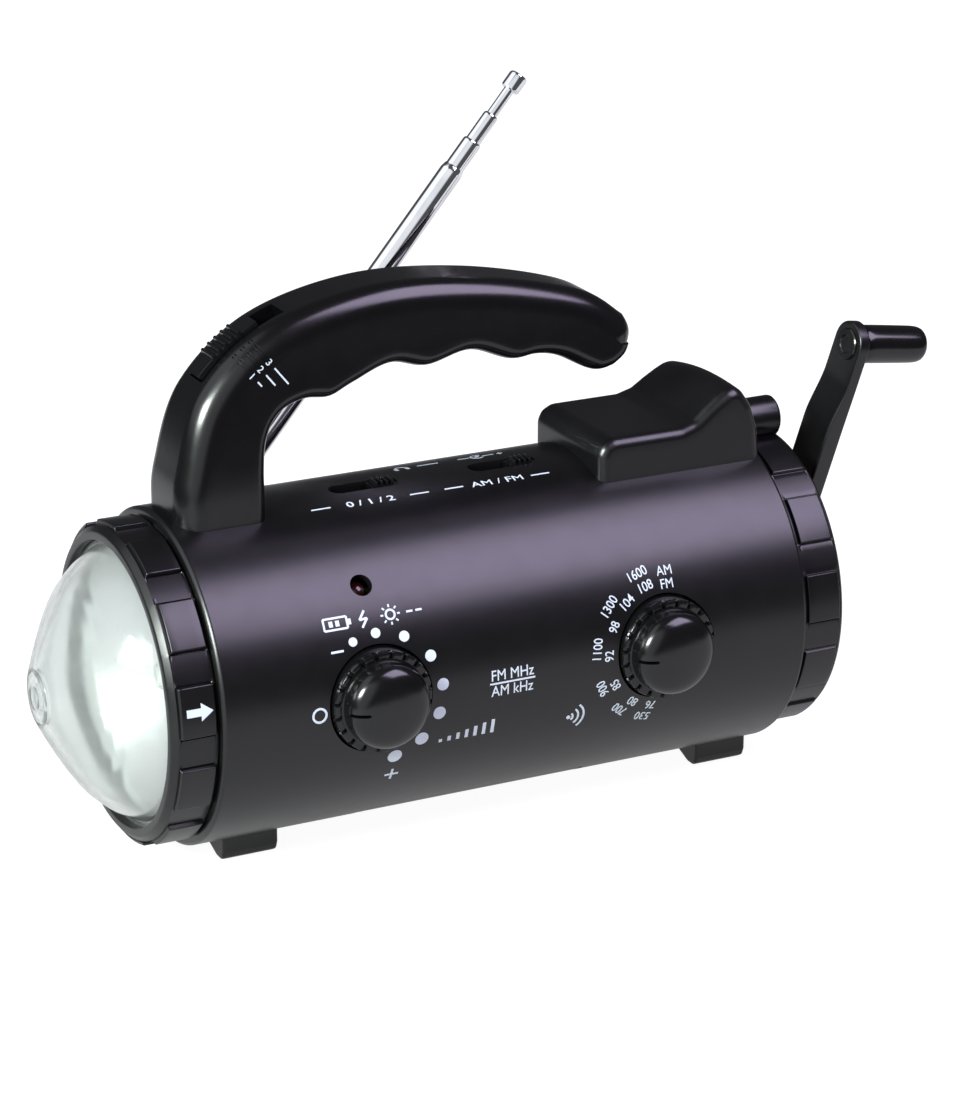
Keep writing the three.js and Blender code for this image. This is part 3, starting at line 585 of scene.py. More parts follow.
def barrel():
    shell = build("barrel_body", lathe([
        (0, BARREL_BORE), (0, BARREL_R - 0.9), (0.12, BARREL_R - 0.65), (0.75, BARREL_R - 0.06), (1.05, BARREL_R),
        (BARREL_LENGTH - 0.8, BARREL_R), (BARREL_LENGTH - 0.2, BARREL_R - 0.25), (BARREL_LENGTH, BARREL_R - 0.6),
        (BARREL_LENGTH, BARREL_BORE), (0, BARREL_BORE),
    ], 240))
    cutters = []
    for name in ("volume_knob", "tuning_knob"):
        at = middle(name)
        cutters.append(drilled(at.x, -46, -30, KNOB_HOLE_R, at.z))
    for name in ("power_slider", "band_slider"):
        low, high = mm_box(name)
        cutters.append(span((low.x + high.x - SLIDE_TRAVEL) / 2, high.x - low.x + SLIDE_TRAVEL + 1, SLIDE_SLOT_HALF))
    for name, radius in RADIAL_HOLES:
        cutters.append(radial_hole(middle(name).x, direction_of(name), radius))
    speaker = middle("speaker")
    for k in range(-2, 3):
        z = GRILLE_PITCH * k
        left = [Vector((speaker.x - GRILLE_HALF - GRILLE_SLOT * math.cos(a), z + GRILLE_SLOT * math.sin(a)))
                for a in [j * math.pi / 8 - math.pi / 2 for j in range(9)]]
        right = [Vector((2 * speaker.x - p.x, p.y)) for p in reversed(left)]
        cutters.append(prism(left + right, 30, 46, along_y))
    left, right = door_outline(0)
    cutters.append(plate(left, right, BARREL_BORE - 2, BARREL_R + 2, 0, below, cross=24))
    cut(shell, *cutters)
    outside = (BARREL_R - 0.12) * MM

    def radius(vert):
        return math.hypot(vert.co.y - DATUM.y, vert.co.z - DATUM.z)

    def rim(edge):
        flush = [all(radius(v) > outside for v in f.verts) for f in edge.link_faces]
        on_skin = all(radius(v) > outside for v in edge.verts)
        x = (edge.verts[0].co.x + edge.verts[1].co.x) / 2 - DATUM.x
        return on_skin and flush[0] != flush[1] and 2 * MM < x < (BARREL_LENGTH - 2) * MM

    soften(shell, rim, 0.3)
    finish(shell, "satin_black_plastic", "body", "barrel_shell_near", "barrel_shell_far", weighted=False)
    mesh = shell.data
    normals = [Vector(corner.vector) for corner in mesh.corner_normals]
    for face in mesh.polygons:
        out = Vector((0, face.center.y - DATUM.y, face.center.z - DATUM.z)).normalized()
        if face.normal.dot(out) < 0.96:
            continue
        for i in face.loop_indices:
            at = mesh.vertices[mesh.loops[i].vertex_index].co
            if (BARREL_R - 0.03) * MM < math.hypot(at.y - DATUM.y, at.z - DATUM.z):
                normals[i] = Vector((0, at.y - DATUM.y, at.z - DATUM.z)).normalized()
    mesh.normals_split_custom_set([tuple(n) for n in normals])
    left, right = door_outline(0.5)
    door = build("battery_cover", plate(left, right, BARREL_BORE, BARREL_R - 0.05, 0.3, below, cross=24))
    ribs = [prism([(x, -7), (x + 0.9, -7), (x + 0.9, 7), (x, 7)], BARREL_R - 0.6, BARREL_R + 1, below)
            for x in [95 + 1.8 * k for k in range(4)]]
    finish(cut(door, *ribs), "satin_black_plastic", "door", "battery_door", angle=25)


# ---------------------------------------------------------------- rings with raised pads
PADS = 12
PAD_WIDTH = 17.5
PAD_PHASE = 51.3
PAD_FLANK = [  # degrees, height
    (-1.05, 0.0), (-0.85, -0.35), (-0.55, -0.38), (-0.4, -0.2), (-0.14, 0.8), (0.06, 0.97), (0.4, 1.0)]


def padded(plain, raised):
    """A turned ring that follows the raised profile on its pads and the plain one between them."""
    stations = []
    for i in range(PADS):
        start = PAD_PHASE + 360 / PADS * i - PAD_WIDTH / 2
        stations += [(start + at, height) for at, height in PAD_FLANK]
        stations += [(start + PAD_WIDTH * k / 6, 1.0) for k in range(1, 6)]
        stations += [(start + PAD_WIDTH - at, height) for at, height in reversed(PAD_FLANK)]
        stations += [(start + PAD_WIDTH + (360 / PADS - PAD_WIDTH) * k / 4, 0.0) for k in range(1, 4)]
    points, faces = [], []
    n, m = len(plain), len(stations)
    for degrees, height in stations:
        a = math.radians(degrees)
        for (x0, r0), (x1, r1) in zip(plain, raised):
            x, r = x0 + (x1 - x0) * height, r0 + (r1 - r0) * height
            points.append(Vector((x, -r * math.sin(a), r * math.cos(a))))
    for i in range(m):
        j = (i + 1) % m
        faces += [[i * n + k, i * n + (k + 1) % n, j * n + (k + 1) % n, j * n + k] for k in range(n)]
    return points, faces


def pad_profile(back, front, plain_r, pad_r, side):
    """The pads' stretch of a ring profile, from back to front, as plain and raised points."""
    shape = [(-0.35, 0), (-0.22, -0.3), (0.0, -0.34), (0.08, -0.1), (0.28, 0.85), (0.55, 1)]
    points = [(at, h) for at, h in shape]
    length = abs(front - back)
    points += [(length * k / 4, 1) for k in range(1, 4)]
    points += [(length - at, h) for at, h in reversed(shape)]
    xs = [back + side * at for at, _ in points]
    return ([(x, plain_r) for x in xs],
            [(x, plain_r + (pad_r - plain_r) * h) for x, (_, h) in zip(xs, points)])


def bezel():
    low, high = mm_box("front_bezel")
    back, front, pad_r = high.x, low.x, high.z
    ring_r = pad_r - 1.0
    plain, raised = pad_profile(back - 0.35, back - 9.55, ring_r, pad_r, -1)
    start = [(back, 37.2), (back, ring_r - 0.35), (back - 0.1, ring_r - 0.1)]
    end = [(front + 1.85, ring_r - 0.02), (front + 1.6, ring_r - 0.17), (front + 0.35, 37.4), (front + 0.1, 37.1),
           (front, 36.7), (front, 35.5), (front + 0.08, 35.15), (front + 0.3, 35.0), (front + 2, 35.0),
           (front + 2, 37.2)]
    ring = build("bezel_ring", padded(start + plain + end, start + raised + end))
    finish(ring, "satin_black_plastic", "bezel", "front_bezel", angle=60)


def rear_cap():
    low, high = mm_box("rear_cap")
    back, end_x, pad_r = low.x, high.x, high.z
    ring_r = pad_r - 0.6
    plain, raised = pad_profile(back + 1.7, end_x - 1.2, ring_r, pad_r, 1)
    start = [(back, 35.6), (back, ring_r - 0.3), (back + 0.25, ring_r)]
    end = [(end_x - 0.9, ring_r), (end_x - 0.35, ring_r - 0.25), (end_x, ring_r - 1.1), (end_x, 31),
           (end_x - 0.1, 30.7), (end_x - 0.6, 30.5), (end_x - 0.6, 14.5), (end_x - 0.5, 14.2), (end_x, 14),
           (end_x, 9.9), (end_x - 0.3, 9.6),
           (166, 9.6), (166, 4.4), (164.6, 4.4), (164.6, 35.6)]
    cap = build("end_cap", padded(start + plain + end, start + raised + end))
    finish(cap, "satin_black_plastic", "body", "rear_cap", angle=60)
    low, high = mm_box("rear_post")
    r = (high.y - low.y) / 2
    post = lathe([(low.x, 0), (low.x, r), (high.x - 0.9, r), (high.x - 0.35, r - 0.15), (high.x - 0.05, r - 0.5),
                  (high.x, r - 1), (high.x, 2), (high.x - 0.4, 1.7), (high.x - 0.4, 0)], 64)
    raised = moved(post, Matrix.Translation((0, 0, high.z - r)))
    finish(build("end_post", raised), "satin_black_plastic", "body", "rear_post")


# ---------------------------------------------------------------- lamp
DOME = [(-31.4, 0), (-31.4, 2.0), (-31.32, 4.0), (-31.05, 6.0), (-30.3, 8.1), (-28.9, 10.9), (-26.9, 14.6),
        (-24.9, 18.1), (-22.9, 21.4), (-20.9, 24.4), (-18.6, 27.2), (-14.1, 31.1), (-9.6, 33.6)]
BULLSEYE = [(2.9, 0.35), (6.6, 0.5)]  # radius and depth of the rings moulded in the dome's nose


def charge_lamp():
    at, degrees = middle("charge_led"), direction_of("charge_led")
    top = BARREL_R - 2.1
    turn = Matrix.Translation((at.x, 0, 0)) @ Matrix.Rotation(math.radians(degrees), 4, "X")
    turn = turn @ Matrix.Rotation(math.radians(-90), 4, "Y")
    lens = [(top - 5, 0), (top - 5, 2.9), (top - 4.2, 2.9), (top - 4.2, 2.45), (top - 1.7, 2.45), (top - 0.9, 2.1),
            (top - 0.35, 1.4), (top - 0.08, 0.7), (top, 0)]
    finish(build("charge_lens", moved(lathe(lens, 48), turn)), "red_lens", "body", "charge_led")


def lamp():
    outer = spline(DOME, 140)
    for p in outer:
        p.x += sum(deep * max(0.0, 1 - abs(p.y - r) / 0.55) for r, deep in BULLSEYE)
    wall = [(x + 2.2, max(0.0, r - 0.8)) for x, r in DOME[1:]]
    inner = spline([(wall[0][0] - 0.1, 0.0)] + wall[2:], 60)[::-1]
    profile = [tuple(p) for p in outer] + [(-9.25, 34.2), (-9.2, 36.8), (-7.4, 36.8), (-7.4, 32.8)]
    profile += [tuple(p) for p in inner[:-1]] + [(inner[-1].x, 0.0)]
    profile[0] = (profile[0][0], 0.0)
    finish(build("lens_dome", lathe(profile, 160)), "clear_plastic", "bezel", "dome_lens", angle=50)
    low, high = mm_box("reflector")
    rim_x, rim_r, back = low.x, high.z, 16.0
    steep = (back - rim_x) / rim_r ** 2
    front = [(back - steep * r * r, r) for r in [5 + (rim_r - 5) * k / 24 for k in range(25)]]
    lip = [(rim_x - 0.5, rim_r + 0.05), (rim_x - 2.5, rim_r), (rim_x - 2.6, rim_r + 0.25), (rim_x - 2.5, rim_r + 0.45),
           (rim_x, rim_r + 0.5)]
    dish = front + lip + [(x + 1.1, r + 0.1) for x, r in reversed(front)] + [front[0]]
    finish(build("reflector_dish", lathe(dish, 160)), "mirror_coat", "body", "reflector", angle=40)
    low, high = mm_box("front_collar")
    collar = [(low.x, 34), (low.x, 36.6), (low.x + 0.2, 36.8), (0.5, 36.8), (0.5, high.z), (high.x, high.z),
              (high.x, 36), (3, 34), (low.x, 34)]
    finish(build("lamp_collar", lathe(collar, 160)), "dark_grey_plastic", "body", "front_collar")


# ---------------------------------------------------------------- handle
HANDLE_FOOT = 33.0
HANDLE_OUTER = [(2.6, HANDLE_FOOT), (2.6, 41), (3.5, 51.7), (10, 70.9), (27.2, 85.6), (54, 92.3), (83, 90.9),
                (110.7, 84.4), (123, 76.6)]
HANDLE_TIP = [(123, 76.6), (124.6, 72.6), (122.9, 67.2), (119.2, 64.3)]
HANDLE_UNDER = [(119.2, 64.3), (113.8, 63.8), (104.4, 68.5), (98, 69.8), (91, 69.5), (80, 73.2), (68.4, 70.9),
                (58.7, 72.8), (48.8, 69.3), (42.5, 66.7), (36, 67), (30, 64.8), (26.6, 59.7), (25.5, 52), (25.5, 41),
                (25.5, HANDLE_FOOT)]
HANDLE_HALF = [12.5, 10.8]
HANDLE_EDGE = 6.2
HANDLE_ROUND = 6.5
HANDLE_PAIRS = 150
MODE_CENTRE = from_row(JOINTS["mode_travel"]["pos_m"])
MODE_R = 52.2


def slim(z):
    t = min(1.0, max(0.0, (z - 46) / 34))
    return 1 + (HANDLE_HALF[1] / HANDLE_HALF[0] - 1) * t * t * (3 - 2 * t)


def grip_point(u, v, w):
    return Vector((u, w * slim(v), v))


def on_arc(radius, degrees):
    a = math.radians(degrees)
    return Vector((MODE_CENTRE.x + radius * math.cos(a), MODE_CENTRE.z + radius * math.sin(a)))


def index_cut(outer, degrees, deep=0.45):
    """A shallow groove across the handle's rounded near edge, in line with the mode arc's centre."""
    ray = on_arc(1, degrees) - on_arc(0, degrees)
    centre = on_arc(0, degrees)
    foot = max((p for p in outer if p.y > 60), key=lambda p: (p - centre).normalized().dot(ray))
    foot = centre + ray * (foot - centre).dot(ray)
    half = HANDLE_HALF[0]
    rim = [math.radians(a) for a in range(16, 75, 8)]
    arc = [(-half + HANDLE_ROUND * (1 - math.cos(a)) + deep * math.cos(a),
            HANDLE_EDGE * (1 - math.sin(a)) + deep * math.sin(a)) for a in rim]
    arc += [(arc[-1][0], -2.0), (-half - 1.5, -2.0), (-half - 1.5, arc[0][1])]
    along = Vector((-ray.y, ray.x))

    def place(y, inset, t):
        p = foot - ray * inset + along * t
        return Vector((p.x, y * slim(p.y), p.y))

    return prism(arc, -0.2, 0.2, place)


def handle():
    tip = spline(HANDLE_TIP, 17)
    outer = spline(HANDLE_OUTER, HANDLE_PAIRS)[:-1] + tip[:9]
    under = (tip[8:-1] + spline(HANDLE_UNDER, HANDLE_PAIRS))[::-1]
    outer = resample(outer, HANDLE_PAIRS + 8)
    under = resample(under, HANDLE_PAIRS + 8)
    under[-1] = under[-1] + Vector((0.0, -0.05))
    outer[-1] = outer[-1] + Vector((0.0, 0.05))
    half = HANDLE_HALF[0]
    grip = build("carry_handle", plate(outer, under, -half, half, HANDLE_EDGE, grip_point, cross=8, steps=9,
                                       reach=HANDLE_ROUND, right_share=0.55))
    span_angles = [109.8 + 28.8 * k / 24 for k in range(25)]
    slot = [on_arc(MODE_R + 5, a) for a in span_angles] + [on_arc(MODE_R - 4.5, a) for a in reversed(span_angles)]
    grooves = [index_cut(outer, degrees + way * 0.48) for degrees in (128.0, 125.1, 122.3) for way in (-1, 1)]
    core = lathe(barrel_core(-5, 45), 200)
    cut(grip, prism(slot, -3.8, 3.8, along_y), core)

    def mouth(edge):
        sides = [abs(f.normal.y) > 0.98 for f in edge.link_faces]
        mid = (edge.verts[0].co + edge.verts[1].co) / 2
        at = from_row(mid)
        near = abs(abs(at.y) - 3.8) < 0.02 and (at.x - MODE_CENTRE.x) < 0
        r = math.hypot(at.x - MODE_CENTRE.x, at.z - MODE_CENTRE.z)
        return near and r > MODE_R - 3 and sides[0] != sides[1]

    soften(grip, mouth, 0.25)
    cut(grip, *grooves)
    finish(grip, "satin_black_plastic", "body", "handle_shell_near", "handle_shell_far", material=HANDLE_SATIN)


def mode_slider():
    low, high = 117.4, 138.1
    height = []
    for k in range(0, 104):
        a = high - (high - low) * k / 103
        r = MODE_R + 1.1
        for i in range(5):
            away = abs(a - (131.6 - 2.2 * i))
            r = max(r, MODE_R + 1.9 - 0.8 * max(0.0, away / 0.62) ** 4) if away < 0.62 else r
        height.append(on_arc(r, a))
    floor = [on_arc(MODE_R - 1.4, high - (high - low) * k / 103) for k in range(104)]
    slider = build("mode_slide", plate(height, floor, -3.4, 3.4, 0.25, along_y, steps=2))
    corners = ((MODE_R - 6, 130.7), (MODE_R - 6, 124.8), (MODE_R - 1, 124.8), (MODE_R - 1, 130.7))
    stem = [on_arc(r, a) for r, a in corners]
    foot = build("mode_slide_stem", prism(stem, -1.5, 1.5, along_y))
    finish(slider, "gloss_black_plastic", "mode_slide", "mode_slider", angle=40)
    finish(foot, "gloss_black_plastic", "mode_slide")


# ---------------------------------------------------------------- housing and feet
HOUSING_TOP = [(111, 34.5), (111, 44.4), (112.2, 46.9), (115, 48.3), (134, 48.3), (138, 49.7), (141.4, 52.7),
               (144.6, 55.2), (147.2, 56.9), (149.6, 57.4), (151.7, 56), (154.3, 52), (156.3, 45.6), (157, 38),
               (157, 34.5)]
HOUSING_FLAT = 48.3
HOUSING_FOOT = 32.0
HOUSING_HALF = mm_box("top_housing")[1].y


def housing_point(u, v, w):
    rise = max(0.0, v - HOUSING_FLAT)
    side = w / HOUSING_HALF
    return Vector((u, w, v - rise * side * (0.2 * side + 0.1)))


def housing():
    top = resample(fillet(HOUSING_TOP, 3.2, 6), 120)
    foot = [Vector((111 + 46 * k / 119, HOUSING_FOOT)) for k in range(120)]
    box = build("top_cover", plate(top, foot, -HOUSING_HALF, HOUSING_HALF, 2.6, housing_point, cross=6, belt=16,
                                   steps=6))
    core = lathe(barrel_core(105, 163), 200)
    finish(cut(box, core), "satin_black_plastic", "body", "top_housing", angle=45)


def feet():
    for name, node in (("front_pad_foot", "front_foot"), ("rear_pad_foot", "rear_foot")):
        low, high = mm_box(node)
        half = [(13.4, -43.2), (12.6, -45.2), (11.2, -46), (8.6, -46), (3.4, -44.2), (0, -43.7)]
        sole = resample(fillet(half + [(-x, y) for x, y in half[-2::-1]], 0.8, 3), 61)
        across = [13.4] + [12.6 - 25.2 * k / 58 for k in range(59)] + [-13.4]
        upper = [Vector((x, 1.4 - math.sqrt(BARREL_R ** 2 - x * x))) for x in across]

        foot = build(name, plate(upper, sole, low.x, high.x, 0.7, along_x, cross=6))
        finish(foot, "satin_black_plastic", "body", node)


# ---------------------------------------------------------------- knobs and switches
KNOB_NOTCHES = 20


def knob(name, node, body):
    low, high = mm_box(node)
    at = (low + high) / 2
    skirt_r, front = (high.x - low.x) / 2, low.y
    cap_r = skirt_r - 2.3
    face = front + 7.2
    profile = [(-37.2, 0), (-37.2, skirt_r), (face + 1.3, skirt_r), (face + 0.45, skirt_r - 0.08),
               (face + 0.12, skirt_r - 0.3), (face, skirt_r - 0.7), (face, cap_r + 0.5), (face - 0.15, cap_r + 0.15),
               (face - 0.5, cap_r), (-45.6, cap_r - 0.05)]
    dome = spline([(-45.6, cap_r - 0.05), (-46.5, cap_r - 0.2), (-47.6, cap_r - 0.8), (-48.6, cap_r - 2.0),
                   (-49.4, cap_r - 4.0), (-49.95, cap_r - 7.0), (front, 0)], 30)
    profile += [tuple(p) for p in dome[1:-1]] + [(front, 0.0)]

    def notched(i, angle):
        x, r = profile[i]
        turn = (angle * KNOB_NOTCHES / (2 * math.pi)) % 1.0
        deep = min(1.0, max(0.0, (0.17 - abs(turn - 0.5)) / 0.05))
        if 3 <= i <= 6:
            reach = min(1.0, max(0.0, (r - (skirt_r - 1.9)) / 0.3))
            return x + 0.9 * deep * reach, r - 0.35 * deep
        return x, r

    profile.insert(6, (face, skirt_r - 1.75))
    profile.insert(6, (face, skirt_r - 1.5))
    turn = Matrix.Translation((at.x, 0, at.z)) @ Matrix(((0, 1, 0, 0), (1, 0, 0, 0), (0, 0, 1, 0), (0, 0, 0, 1)))
    obj = build(name, moved(lathe(profile, KNOB_NOTCHES * 12, notched), turn))
    rim, tip = at.x - cap_r - 1, at.x - 6.2
    groove = prism([(rim, at.z - 0.4), (tip - 0.4, at.z - 0.4), (tip, at.z), (tip - 0.4, at.z + 0.4),
                    (rim, at.z + 0.4)], -52, -46.2, along_y)
    finish(cut(obj, groove), "gloss_black_plastic", body, node, angle=38)


def top_slider(name, node, body):
    low, high = mm_box(node)
    x, y0, y1 = (low.x + high.x) / 2, low.y, high.y
    top = high.z
    crest = []
    for u in [-3.5] + [-2.8 + 0.1 * k for k in range(57)] + [3.5]:
        z = top - 1.15
        for at in (-2.1, -0.7, 0.7, 2.1):
            away = abs(u - at)
            z = max(z, top - 1.15 * (away / 0.5) ** 4) if away < 0.5 else z
        crest.append(Vector((x + u, z)))
    floor = [Vector((p.x, 38.6)) for p in crest]
    slider = build(name, plate(crest, floor, y0, y1, 0.25, along_y, steps=2))
    finish(slider, "gloss_black_plastic", body, node, angle=40)
    stem = build(name + "_stem", prism([(x - 1.5, low.z), (x + 1.5, low.z), (x + 1.5, 39), (x - 1.5, 39)],
                                       (y0 + y1) / 2 - 1, (y0 + y1) / 2 + 1, along_y))
    finish(stem, "gloss_black_plastic", body)


# ---------------------------------------------------------------- crank
HINGE = from_row(JOINTS["crank_fold"]["pos_m"])
CRANK_TURN = math.atan2(JOINTS["crank_fold"]["axis"][2], JOINTS["crank_fold"]["axis"][1])
CRANK_LEAN = math.radians(-JOINTS["crank_fold"]["range_deg"][0])
CRANK_ARM = (from_row(JOINTS["crank_knob_spin"]["pos_m"]) - HINGE).length
UPRIGHT = Matrix.Translation(HINGE) @ Matrix.Rotation(CRANK_TURN, 4, "X")
LEANING = UPRIGHT @ Matrix.Rotation(CRANK_LEAN, 4, "Y")


def crank():
    half, outer, inner, boss = 5.9, 1.5, -3.4, -1.5

    def ease(z, start, end):
        t = min(1.0, max(0.0, (z - start) / (end - start)))
        return t * t * (3 - 2 * t)

    def blade(u, v, w):
        inside = inner + (boss - inner) * ease(v, 42.5, 57)
        inside += (boss - inner) * (1 - ease(v, 3.5, 11.5))
        t = (w - inner) / (outer - inner)
        return Vector((inside + (outer - inside) * t, u, v))

    side = [(2.9, -0.5), (2.9, 6), (3.4, 7.6), (half - 0.5, 9.4), (half, 11), (half, CRANK_ARM)]
    edge = resample(fillet(side, 1.2, 4), 64)
    edge += [Vector((half * math.cos(a), CRANK_ARM + half * math.sin(a)))
             for a in [math.radians(88.5 * k / 14) for k in range(1, 15)]]
    mirror = [Vector((-p.x, p.y)) for p in edge]
    arm = build("crank_blade", moved(plate(mirror, edge, inner, outer, 0.75, blade, cross=4), LEANING))
    knuckle = plate_round(0, 0, 3.4, -2.9, 2.9)
    pin_hole = drilled(0, -8, 8, 1.5, 0, 32)
    axle_hole = moved(prism(circle(2.25, 32, (0, CRANK_ARM)), -0.9, 6, along_x), LEANING)
    cut(arm, moved(pin_hole, LEANING), axle_hole)
    finish(arm, "satin_black_plastic", "crank_lever", "crank_arm")
    eye = cut(build("crank_eye", moved(knuckle, LEANING)), moved(pin_hole, LEANING))
    finish(eye, "satin_black_plastic", "crank_lever")
    cap = lathe([(boss + 0.3, 0), (boss + 0.3, 4.1), (boss - 0.25, 4.1), (boss - 0.5, 3.8), (boss - 0.5, 2.5),
                 (boss - 0.2, 2.2), (boss - 0.2, 0)], 48)
    at_knob = LEANING @ Matrix.Translation((0, 0, CRANK_ARM))
    finish(build("crank_boss_cap", moved(cap, at_knob)), "gloss_black_plastic", "crank_lever")
    stop = outer + 13.8
    axle = lathe([(-0.7, 0), (-0.7, 1.7), (-0.4, 2.0), (stop - 0.3, 2.0), (stop, 1.7), (stop, 0)], 40)
    finish(build("crank_axle", moved(axle, at_knob)), "steel", "crank_lever", "crank_knob_axle")
    x0, x1, r = outer + 0.4, outer + 19.4, 4.9
    waist = spline([(x0 + 0.9, r - 0.05), (x0 + 4, r), (x1 - 4, r - 0.12), (x1 - 1.6, r - 0.3)], 14)
    grip = [(x0, 2.3), (x0, r - 0.9), (x0 + 0.25, r - 0.35)] + [tuple(p) for p in waist]
    grip += [(x1 - 0.8, r - 0.55), (x1 - 0.3, r - 0.95), (x1 - 0.05, r - 1.5), (x1, r - 2.2), (x1, 0.0)]
    hollow = [(x0 + 13.2, 0.0), (x0 + 13.2, 2.3), *grip]
    finish(build("crank_grip_knob", moved(lathe(hollow, 72), at_knob)), "gloss_black_plastic", "crank_grip",
           "crank_knob")
    end_x = mm_box("rear_cap")[1].x
    hub = lathe([(155.4, 0), (155.4, 4), (166.4, 4), (166.4, 9), (end_x - 0.5, 9), (end_x - 0.12, 8.8),
                 (end_x, 8.4), (end_x, 5.6), (end_x - 0.3, 5.3), (end_x - 0.3, 0)], 72)
    ears = []
    for low, high in ((3.2, 6.2), (-6.2, -3.2)):
        tongue = [(end_x - HINGE.x - 1, -4), (0, -4)]
        arc = [(4 * math.sin(a), -4 * math.cos(a)) for a in [math.radians(180 * k / 20) for k in range(1, 20)]]
        near = [Vector(p) for p in tongue + arc[:10]]
        far = [Vector((p.x, -p.y)) for p in near]
        near[-1] += Vector((0, -0.02))
        far[-1] += Vector((0, 0.02))
        ears.append(moved(plate(near, far, low, high, 0.35, along_y), UPRIGHT))
    hub_obj = build("crank_hub", join(hub, *ears))
    finish(cut(hub_obj, moved(drilled(0, -8, 8, 1.35, 0, 32), UPRIGHT)), "steel", "crank", "crank_shaft")
    pin = [(-6.35, 0), (-6.35, 1.6), (-6.2, 2.1), (-5.9, 2.2), (-5.9, 1.2), (5.9, 1.2), (5.9, 2.2), (6.2, 2.1),
           (6.35, 1.6), (6.35, 0)]
    across = Matrix.Rotation(math.radians(90), 4, "Z")
    pin = [(u * 1.05, r) for u, r in pin]
    finish(build("crank_pin", moved(lathe(pin, 40), UPRIGHT @ across)), "steel", "crank", "crank_hinge_pin")


def plate_round(x, z, radius, low, high):
    """A disc across Y with softened rims."""
    turns = [math.radians(2 + 176 * k / 24) for k in range(25)]
    left = [Vector((x - radius * math.sin(a), z - radius * math.cos(a))) for a in turns]
    right = [Vector((x + radius * math.sin(a), z - radius * math.cos(a))) for a in turns]
    return plate(left, right, low, high, 0.35, along_y)


# ---------------------------------------------------------------- antenna
PIVOT = from_row(JOINTS["antenna_swing"]["pos_m"])
RAISE = math.atan2(JOINTS["antenna_slide_2"]["axis"][2], JOINTS["antenna_slide_2"]["axis"][0])
RAISED = Matrix.Translation(PIVOT) @ Matrix.Rotation(-RAISE, 4, "Y")
SECTIONS = [  # start, end, radius, node, body
    (18, 121.9, 2.5, "antenna_section_2", "antenna_2"),
    (26, 130.1, 2.0, "antenna_section_3", "antenna_3"),
    (34, 138.1, 1.4, "antenna_section_4", "antenna_4"),
]


def antenna():
    end, r, wall = 113.9, 3.0, 0.3
    tube = lathe([(7, 0), (7, r - 0.3), (7.3, r), (end - 1.6, r), (end - 1.2, r - 0.12), (end - 0.4, r - 0.25),
                  (end - 0.1, r - 0.4), (end, r - wall - 0.1), (end - 0.3, r - wall - 0.15), (10, r - wall - 0.1),
                  (10, 0)], 56)
    disc = plate_round(0, 0, 4.3, -r, r)
    neck = plate([(0, -2), (9, -2)], [(0, 2), (9, 2)], -r + 0.1, r - 0.1, 0.5, along_y)
    mast = build("antenna_mast", moved(join(tube, disc, neck), RAISED))
    finish(mast, "chrome_plate", "antenna", "antenna_tube")
    for i, (start, stop, radius, node, body) in enumerate(SECTIONS):
        name = f"antenna_stage_{i + 2}"
        if i < len(SECTIONS) - 1:
            inside = radius - wall
            profile = [(start, inside), (start, radius), (stop - 0.7, radius), (stop - 0.35, radius - 0.06),
                       (stop - 0.1, radius - 0.2), (stop, inside), (start, inside)]
        else:
            tip = [(stop - 0.3, 2.1), (stop - 0.05, 2.42), (stop + 0.3, 2.5), (stop + 3.6, 2.5), (stop + 4.1, 2.3),
                   (stop + 4.35, 1.9), (stop + 4.4, 0)]
            profile = [(start, 0), (start, radius), (stop - 0.3, radius)] + tip
        finish(build(name, moved(lathe(profile, 56), RAISED)), "chrome_plate", body, node)
    low, high = mm_box("antenna_pin")
    across = Matrix.Translation((PIVOT.x, 0, PIVOT.z)) @ Matrix.Rotation(math.radians(90), 4, "Z")
    head = [(low.y, 0), (low.y, 1.2), (high.y - 1.15, 1.2), (high.y - 1.15, 2.4), (high.y - 1.0, 2.6),
            (high.y - 0.5, 2.5), (high.y - 0.1, 1.9), (high.y, 1.0), (high.y, 0)]
    finish(build("antenna_rivet", moved(lathe(head, 48), across)), "chrome_plate", "body", "antenna_pin")
    low, high = mm_box("antenna_bracket")
    boss = lathe([(35.6, 0), (35.6, 6), (high.y - 0.5, 6), (high.y - 0.15, 5.85), (high.y, 5.4), (high.y, 0)], 64)
    finish(build("antenna_boss", moved(boss, across)), "satin_black_plastic", "body", "antenna_bracket")


# ---------------------------------------------------------------- printed marks
INK = (-0.04, 0.05)


def glyphs(text, size):
    """Flat letters as a thin solid, with x and y in the plane and z across INK's thickness."""
    curve = bpy.data.curves.new("letters", "FONT")
    curve.body = text
    curve.size = size
    curve.align_x = "CENTER"
    curve.align_y = "BOTTOM_BASELINE"
    curve.extrude = (INK[1] - INK[0]) / 2
    curve.resolution_u = 4
    bolder = 0.004 if text.isdigit() else 0.011
    curve.offset = 0.0 if "M" in text else bolder * size  # the M's sharp corners can't take it
    holder = bpy.data.objects.new("letters", curve)
    bpy.context.scene.collection.objects.link(holder)
    graph = bpy.context.evaluated_depsgraph_get()
    mesh = bpy.data.meshes.new_from_object(holder.evaluated_get(graph))
    bpy.data.objects.remove(holder)
    lift = Vector((0, 0, sum(INK) / 2))
    solid = [vert.co + lift for vert in mesh.vertices], [list(face.vertices) for face in mesh.polygons]
    bpy.data.meshes.remove(mesh)
    return solid


def letters(text, size, x, degrees, tilt=0.0, squeeze=1.0):
    """Text wrapped on the barrel; x and degrees place the middle of its baseline."""
    turn = Matrix.Rotation(math.radians(tilt), 2)
    points, faces = glyphs(text, size)
    out = []
    for p in points:
        flat = turn @ Vector((p.x * squeeze, p.y))
        out.append(wrapped(x + flat.x, around(degrees) + flat.y, p.z))
    return out, faces


